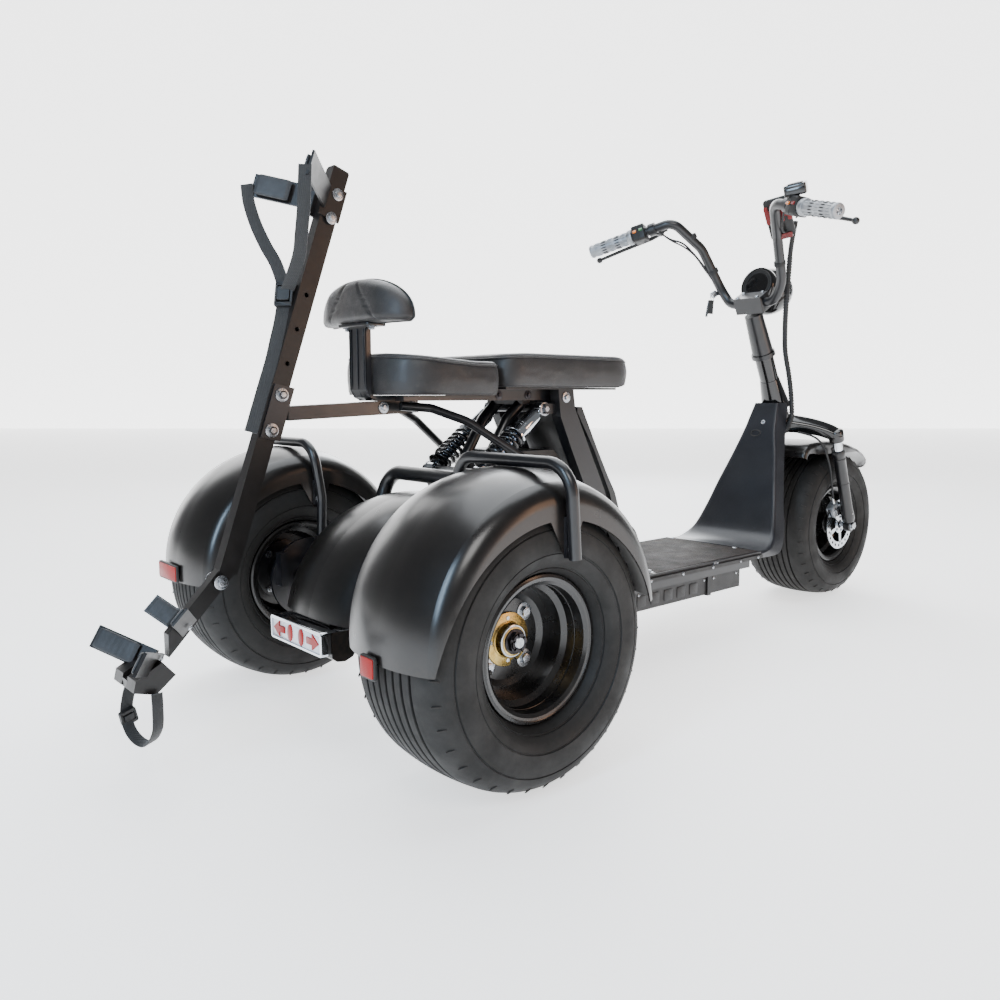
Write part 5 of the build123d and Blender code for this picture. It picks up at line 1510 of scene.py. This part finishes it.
def wing_pad(M, a, b, hw, th, off, m=0, ribs=7):
    a, b = Vector(a), Vector(b)
    s = 1 if b.y > 0 else -1
    d = (b - a).normalized()
    L = (b - a).length
    nrm = Vector((d.y * s, -d.x * s, 0))
    nrm = nrm if nrm.x < 0 else -nrm
    rings = []
    steps = 30
    for i in range(steps + 1):
        t = i / steps
        rib = abs(math.sin(math.pi * t * ribs)) ** 0.6
        endk = min(1.0, math.sin(math.pi * min(max(t, 0.01), 0.99)) * 3.0) ** 0.5
        c0 = a + d * (L * t) + nrm * off
        rings.append([M @ (c0 + Vector((0, 0, 1)) * (p * (0.86 + 0.14 * endk)) + nrm * (q * endk * (1 + 0.2 * rib * (q > 0))))
                      for p, q in sup(hw, th, 24, 4.0)])
    o.rings(rings, m=m)


for s in (1, -1):
    wing_pad(low_t, (-4, s * 22, 0), (-37, s * 58, 0), 15, 3.4, 5.2)
    wing_pad(base, (-12, s * 34, 0), (-58, s * 98, 0), 17, 3.6, 6.0)
    o.screw(base @ Vector((-2, s * 30, 12)), tuple(base.to_3x3() @ Vector((0.8, s * 0.55, 0))), 4.6, 2.4, 1)
    o.screw(low_t @ Vector((2, s * 26, 0)), tuple(low_t.to_3x3() @ Vector((0.75, s * 0.6, 0))), 4.6, 2.4, 1)
o.done(padded=0.95)

# webbing
o = G("bag_straps", "frame", ["strap_web", "mould_black", "bright_steel"], "strap_web", sharp=50)
SIDE = (0.67, -0.74, 0)


def web(pts, side, w=22, t=2.0, m=0):
    c = crom(pts, 8)
    k = len(c)
    out = []
    for i, p in enumerate(c):
        sdv = Vector(side) + Vector((0, 0, 1)) * mnoise.noise(Vector((i * 0.11, 2.0, len(pts)))) * 0.12
        out.append(sdv)
    o.ribbon(c, out, w, t, m)
    return c


web([(-185, 104, 984), (-183, 101, 952), (-176, 92, 915), (-168, 74, 878), (-160, 53, 845), (-160, 30, 810), (-160, 20, 785)], SIDE)
web([(-181, -98, 980), (-181, -94, 948), (-178, -84, 915), (-174, -68, 880), (-168, -46, 845), (-164, -8, 808), (-162, 16, 788)], SIDE)
web([(-160, 20, 802), (-167, 15, 772), (-177, 8, 740), (-189, 3, 706), (-200, 0, 672), (-216, 0, 627), (-237, 0, 566), (-242, 0, 552)], SIDE, 24, 2.2)
# cam buckle where the two join
bc = Vector((-165, 14, 788))
sx = Vector(SIDE).normalized()
dn = Vector((-0.26, -0.16, -0.95)).normalized()
dn = (dn - sx * sx.dot(dn)).normalized()
nz = sx.cross(dn)


def bk(a, b, c):
    return bc + sx * a + dn * b + nz * c


def bbox(a0, a1, b0, b1, c0, c1, m, r=2.5):
    out = rounded([(a0, b0), (a1, b0), (a1, b1), (a0, b1)], r, 4)
    ca, cb_ = (a0 + a1) / 2, (b0 + b1) / 2
    o.rings([[bk(ca + (p.x - ca) * k, cb_ + (p.y - cb_) * k, c) for p in out] for c, k in ((c0, 0.95), (c0 + 0.9, 1), (c1 - 0.9, 1), (c1, 0.95))], m=m)


bbox(-16, 16, -22, -15, -4.5, 5, 1)
bbox(-16, 16, 16, 23, -4.5, 5, 1)
bbox(-16, -12, -18, 20, -4.5, 5, 1)
bbox(12, 16, -18, 20, -4.5, 5, 1)
bbox(-11, 11, -12, 13, -6.5, 6.5, 1, 4)
bbox(-8, 8, -6, 8, 5.5, 8, 1, 3)
o.tube([bk(-13, -2, 2), bk(0, -2, 2), bk(13, -2, 2)], 1.6, 8, 2)
# lower loop and its buckle
web([(-452, 20, 156), (-458, 20, 138), (-463, 18, 110), (-461, 6, 84), (-455, -18, 71), (-448, -42, 74), (-441, -58, 98), (-440, -61, 130), (-440, -60, 157)], (0.9, 0.1, 0.25), 18, 1.9)
web([(-452, 20, 150), (-456, 28, 120), (-452, 40, 96), (-446, 52, 84)], (0.9, 0.1, 0.25), 17, 1.9)
bc = Vector((-460, 16, 104))
sx = Vector((0.9, 0.1, 0.25)).normalized()
dn = Vector((0, 0.12, -1)).normalized()
dn = (dn - sx * sx.dot(dn)).normalized()
nz = sx.cross(dn)
bbox(-13, 13, -12, -7, -4, 4.5, 1)
bbox(-13, 13, 8, 13, -4, 4.5, 1)
bbox(-13, -9.6, -10, 11, -4, 4.5, 1)
bbox(9.6, 13, -10, 11, -4, 4.5, 1)
bbox(-8, 8, -5, 6, -5, 5, 1, 3)
o.done(replaces=("rack_straps",))



# ---------------------------------------------------------------------------
# foot board mat, edge trim, screws; battery case seams
# ---------------------------------------------------------------------------
o = G("deck_mat", "frame", ["deck_mat", "frame_satin", "bolt_steel"], "deck_mat", sharp=30)
Y0, Y1, X0, X1 = -146.0, 146.0, 604.0, 1098.0
pitch = 7.3
n = int((Y1 - Y0) / pitch)
prof = []
for k in range(n):
    y = Y0 + k * pitch
    prof += [(y + 0.6, 206.4), (y + 1.6, 208.2), (y + 4.4, 208.4), (y + 5.6, 206.6)]
prof = [(Y0, 206.05), (Y0, 206.4)] + prof + [(Y1, 206.4), (Y1, 206.05)]
# ribs run along the vehicle and round over at the mat's ends
rings = []
for x, k in ((X0, 0.0), (X0 + 1.5, 0.6), (X0 + 4, 1.0), (X1 - 4, 1.0), (X1 - 1.5, 0.6), (X1, 0.0)):
    rings.append([Vector((x, y, 206.05 + (z - 206.05) * k + (0.02 if z > 206.05 else 0))) for y, z in prof])
o.rings(rings, m=0)
# rolled edge strips on both sides of the board
for s in (1, -1):
    o.tube([Vector((x, s * 151.0, 205.2)) for x in (502, 600, 700, 800, 900, 1000, 1098)], 2.6, 10, 1)
    for x in (640, 760, 880, 1000, 1080):
        o.screw((x, s * 158.0, 194.6), (0, s, 0), 4.2, 2.0, 2)
o.done()

o = G("battery_trim", "frame", ["battery_black", "bolt_steel", "rubber_black"], "dark_plastic", sharp=30)
for s in (1, -1):
    o.prism((530, s * 122, 132), (0, s, 0), [tuple(p) for p in rounded([(-50, -10), (50, -10), (50, 22), (-50, 22)], 4, 4)], 0, 1.6, bev=0.6, m=0, hint=(1, 0, 0))
    for x in (650, 700, 750, 800, 850):
        o.prism((x, s * 122, 139), (0, s, 0), [tuple(p) for p in rounded([(-16, -14), (16, -14), (16, 14), (-16, 14)], 5, 4)], 0, 1.4, bev=0.6, m=0, hint=(1, 0, 0))
    for x in (490, 600, 640, 895, 935, 1035):
        o.screw((x, s * 122.2, 154), (0, s, 0), 3.6, 1.8, 1)
o.tube([Vector(p) for p in ((471, -121, 158), (471, 121, 158))], 1.6, 8, 0)
o.done()


# ---------------------------------------------------------------------------
# bolts on the carrying hoops, lamp bracket, shield, strut ends
# ---------------------------------------------------------------------------
o = G("body_bolts", "frame", ["bolt_steel", "dark_nut", "frame_satin"], "bare_aluminium")
for s in (1, -1):
    for z in (388, 418):
        o.hexbolt((25, s * 497.2, z), (0, s, 0), 5.4, 4.0, True, 0)
    for z in (396, 422):
        o.hexbolt((25, s * 244.8, z), (0, -s, 0), 5.4, 4.0, True, 0)
    # strut end plates with a bolt
    o.prism((644, s * 138, 206.0), (0, 0, 1), [tuple(p) for p in rounded([(-16, -20), (16, -20), (16, 20), (-16, 20)], 5, 4)], 0, 3.0, bev=0.6, m=2, hint=(0, 1, 0))
    o.hexbolt((656, s * 138, 209.0), (0, 0, 1), 5.2, 4.0, True, 0)
for y in (-52, 52):
    o.screw((-126, y, 217), (0, 0, 1), 5.0, 2.6, 0)
# saddle bed: bolts through the cross tubes
for s in (1, -1):
    for x in (250, 330):
        o.hexbolt((x, s * 75.2, 615), (0, s, 0), 4.6, 3.4, True, 1)
    # front leg top clamps
    o.hexbolt((407, s * 109.2, 610), (0, s, 0), 5.8, 4.4, True, 0)
    o.hexbolt((552, s * 109.2, 222), (0, s, 0), 5.8, 4.4, True, 0)
o.done()


def face_at(z):
    for a, b in zip(SH, SH[1:]):
        if a[2] >= z >= b[2]:
            t = (a[2] - z) / (a[2] - b[2])
            return a[0] + (b[0] - a[0]) * t
    return SH[0][0]


SHIELD_SCREWS = [(-9.2, 537.7)]
o = G("shield_screws", "frame", ["bolt_steel", "dark_nut", "mould_black"], "bare_aluminium")
for y, z in SHIELD_SCREWS:
    nn = Vector((-0.93, 0, 0.36))
    o.screw(Vector((face_at(z) - 1.4, y, z)), nn, 6.4, 2.8, 0)
for x, y in ((1090, 125), (1084, -84)):
    o.screw((x, y, 208.6), (0, 0, 1), 6.4, 2.6, 0)
for x in (893, 905):
    o.screw((x, -152.4, 201), (0, -1, 0), 4.4, 2.2, 0)
# cable grommet low on the neck of the shield
gz = 506
gp = Vector((face_at(gz) - 1.2, 6, gz))
uu, vv, ww = basis((-0.93, 0, 0.36))
o.tube([gp + (uu * math.cos(t) * 9 + vv * math.sin(t) * 15) for t in (2 * math.pi * k / 40 for k in range(40))], 2.0, 8, 2, closed=True)
o.done()


# ---------------------------------------------------------------------------
# wiring: spiral wrapped loom from the bar to the neck, brake hose, small loops
# ---------------------------------------------------------------------------
def smooth_path(name, pts, order=3):
    """points read along a NURBS spline through the route"""
    cu = bpy.data.curves.new(name, "CURVE")
    cu.dimensions = "3D"
    sp_ = cu.splines.new("NURBS")
    sp_.points.add(len(pts) - 1)
    for i, p in enumerate(pts):
        sp_.points[i].co = (p[0] / 1000.0, p[1] / 1000.0, p[2] / 1000.0, 1.0)
    sp_.order_u = order
    sp_.use_endpoint_u = True
    cu.resolution_u = 14
    ob = bpy.data.objects.new(name, cu)
    bpy.context.collection.objects.link(ob)
    dg = bpy.context.evaluated_depsgraph_get()
    me = bpy.data.meshes.new_from_object(ob.evaluated_get(dg))
    out = [v.co * 1000.0 for v in me.vertices]
    bpy.data.objects.remove(ob, do_unlink=True)
    bpy.data.meshes.remove(me)
    return [Vector(p) for p in out]


def along(path, step):
    """points spaced step apart on a polyline"""
    out = [path[0]]
    acc = 0.0
    for a, b in zip(path, path[1:]):
        L = (b - a).length
        pos = step - acc
        while pos <= L:
            out.append(a.lerp(b, pos / L))
            pos += step
        acc = (acc + L) % step
    return out


def loom():
    P = [(1226, -142, 1066), (1240, -122, 1010), (1276, -98, 940), (1302, -78, 850), (1336, -58, 786)]
    P = [Vector(p) for p in P] + [ax_pt(158, 20, -56), ax_pt(90, 12, -58), ax_pt(20, -8, -60), ax_pt(-38, -32, -60), ax_pt(-56, -60, -46)]
    path = smooth_path("loom_route", P)
    pts = along(path, 2.0)
    n = len(pts)
    radii = []
    for i in range(n):
        f = (i % 4) / 4.0
        radii.append(6.4 if i < n * 0.16 else (7.6 if f in (0.25, 0.5) else 6.3))
    o = G("loom_cover", None, ["rubber_black"], "grip_rubber", sharp=70)
    o.tube(pts, 6.5, 14, 0, radii=radii)
    ob = o.done(replaces=("wire_loom", "frame_loom"))
    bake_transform(ob)


loom()

HP = [(1408, -70, 508), (1436, -104, 500), (1462, -122, 470), (1488, -124, 430), (1509, -123, 392), (1520, -122, 350), (1556, -112, 292)]
hp = smooth_path("hose_route", HP)
o = G("brake_line", "steering", ["rubber_black", "bright_steel"], "grip_rubber", sharp=60)
o.tube(along(hp, 3.0) + [Vector(HP[-1])], 3.0, 10, 0)
e = Vector(HP[-1])
o.lathe(e - Vector((0.5, 0.1, -1)).normalized() * 1.0, (-0.5, -0.1, 0.85), [(0, 5), (8, 5), (9, 4), (20, 3.6), (21, 3)], 18, 1)
o.done(replaces=("brake_hose",))

# loose switch leads drooping under the left half of the bar
o = G("left_leads", "steering", ["rubber_black", "mould_black"], "grip_rubber", sharp=60)
for dy, rr in ((0, 2.6), (5, 2.2)):
    L1 = smooth_path("lead_route", [(1082, 190, 1066), (1110, 178, 1046), (1134, 150, 1040 - dy * 2), (1168, 132, 1006), (1196, 118 + dy, 974), (1222, 106, 936), (1244, 88, 902)])
    o.tube(L1, rr, 10, 0)
L2 = smooth_path("lead_route2", [(1084, -192, 1066), (1110, -172, 1044), (1150, -150, 1024), (1196, -140, 1040), (1222, -141, 1058)])
o.tube(L2, 2.4, 10, 0)
o.done()



# ---------------------------------------------------------------------------
# camera, floor, light
# ---------------------------------------------------------------------------
cam_data = bpy.data.cameras.new("camera")
cam = bpy.data.objects.new("camera", cam_data)
bpy.context.collection.objects.link(cam)
yaw, pitch = math.radians(48.56), math.radians(-6.93)
look = Vector((math.cos(yaw) * math.cos(pitch), math.sin(yaw) * math.cos(pitch), math.sin(pitch)))
cam.location = V(-894.3, -1375.2, 614.5)
cam.rotation_euler = look.to_track_quat("-Z", "Y").to_euler()
cam_data.sensor_width = 36.0
cam_data.lens = 863.0 / 1000.0 * 36.0
cam_data.clip_end = 60.0
bpy.context.scene.camera = cam


def floor_material():
    m = bpy.data.materials.new("floor_pale")
    m.use_nodes = True
    n = Nodes(m)
    c = n.ramp(n.noise(0.7, 3.0, 0.5), [(0.3, (0.86, 0.86, 0.86, 1)), (0.7, (0.90, 0.90, 0.90, 1))])
    n.link(c, n.b.inputs["Base Color"])
    n.link(n.maprange(n.noise(3.0, 3.0, 0.5), 0.3, 0.7, 0.6, 0.7), n.b.inputs["Roughness"])
    n.b.inputs["Emission Color"].default_value = (1.0, 1.0, 1.0, 1.0)
    n.b.inputs["Emission Strength"].default_value = 1.3
    return m


fm = bpy.data.meshes.new("floor")
fb = bmesh.new()
bmesh.ops.create_grid(fb, x_segments=4, y_segments=4, size=30.0)
fb.to_mesh(fm)
fb.free()
floor = bpy.data.objects.new("floor", fm)
bpy.context.collection.objects.link(floor)
floor.data.materials.append(floor_material())

# bright paper hung far behind the vehicle
pm = bpy.data.materials.new("paper_white")
pm.use_nodes = True
pn = Nodes(pm)
pn.b.inputs["Base Color"].default_value = (0.9, 0.9, 0.9, 1.0)
pn.b.inputs["Roughness"].default_value = 0.9
pn.b.inputs["Emission Color"].default_value = (1.0, 1.0, 1.0, 1.0)
pn.b.inputs["Emission Strength"].default_value = 2.8
paper_mesh = bpy.data.meshes.new("paper")
pbm = bmesh.new()
bmesh.ops.create_grid(pbm, x_segments=2, y_segments=2, size=16.0)
pbm.to_mesh(paper_mesh)
pbm.free()
paper = bpy.data.objects.new("paper", paper_mesh)
bpy.context.collection.objects.link(paper)
paper.data.materials.append(pm)
paper.location = (9.3, 10.5, 0.0)
paper.rotation_euler = Vector((-look.x, -look.y, 0.0)).to_track_quat("Z", "Y").to_euler()

world = bpy.data.worlds.new("studio")
bpy.context.scene.world = world
world.use_nodes = True
wt = world.node_tree
bg = wt.nodes["Background"]
bg.inputs[0].default_value = (0.95, 0.97, 1.0, 1.0)
bg.inputs[1].default_value = 0.22


def area(name, loc, target, size, power, colour=(1, 1, 1), size_y=None):
    d = bpy.data.lights.new(name, "AREA")
    d.energy = power
    d.color = colour
    d.shape = "RECTANGLE"
    d.size = size
    d.size_y = size_y or size
    o = bpy.data.objects.new(name, d)
    bpy.context.collection.objects.link(o)
    o.location = loc
    o.rotation_euler = (Vector(target) - Vector(loc)).to_track_quat("-Z", "Y").to_euler()
    return o


area("key", (-2.2, -3.4, 3.6), (0.0, 0.0, 0.5), 1.8, 95, (1.0, 0.98, 0.96))
area("sky", (0.3, 0.6, 4.2), (0.0, 0.0, 0.4), 4.0, 190, (0.92, 0.96, 1.0))
area("rim", (2.6, 3.0, 2.4), (0.0, 0.0, 0.6), 2.2, 90, (0.9, 0.95, 1.0))
area("left_cool", (-3.6, -1.0, 1.9), (-0.6, 0.0, 0.5), 0.7, 85, (0.55, 0.76, 1.0), 2.0)
area("right_warm", (1.6, -3.4, 1.0), (-0.2, 0.0, 0.5), 0.6, 20, (1.0, 0.58, 0.36), 1.6)

bpy.context.view_layer.update()
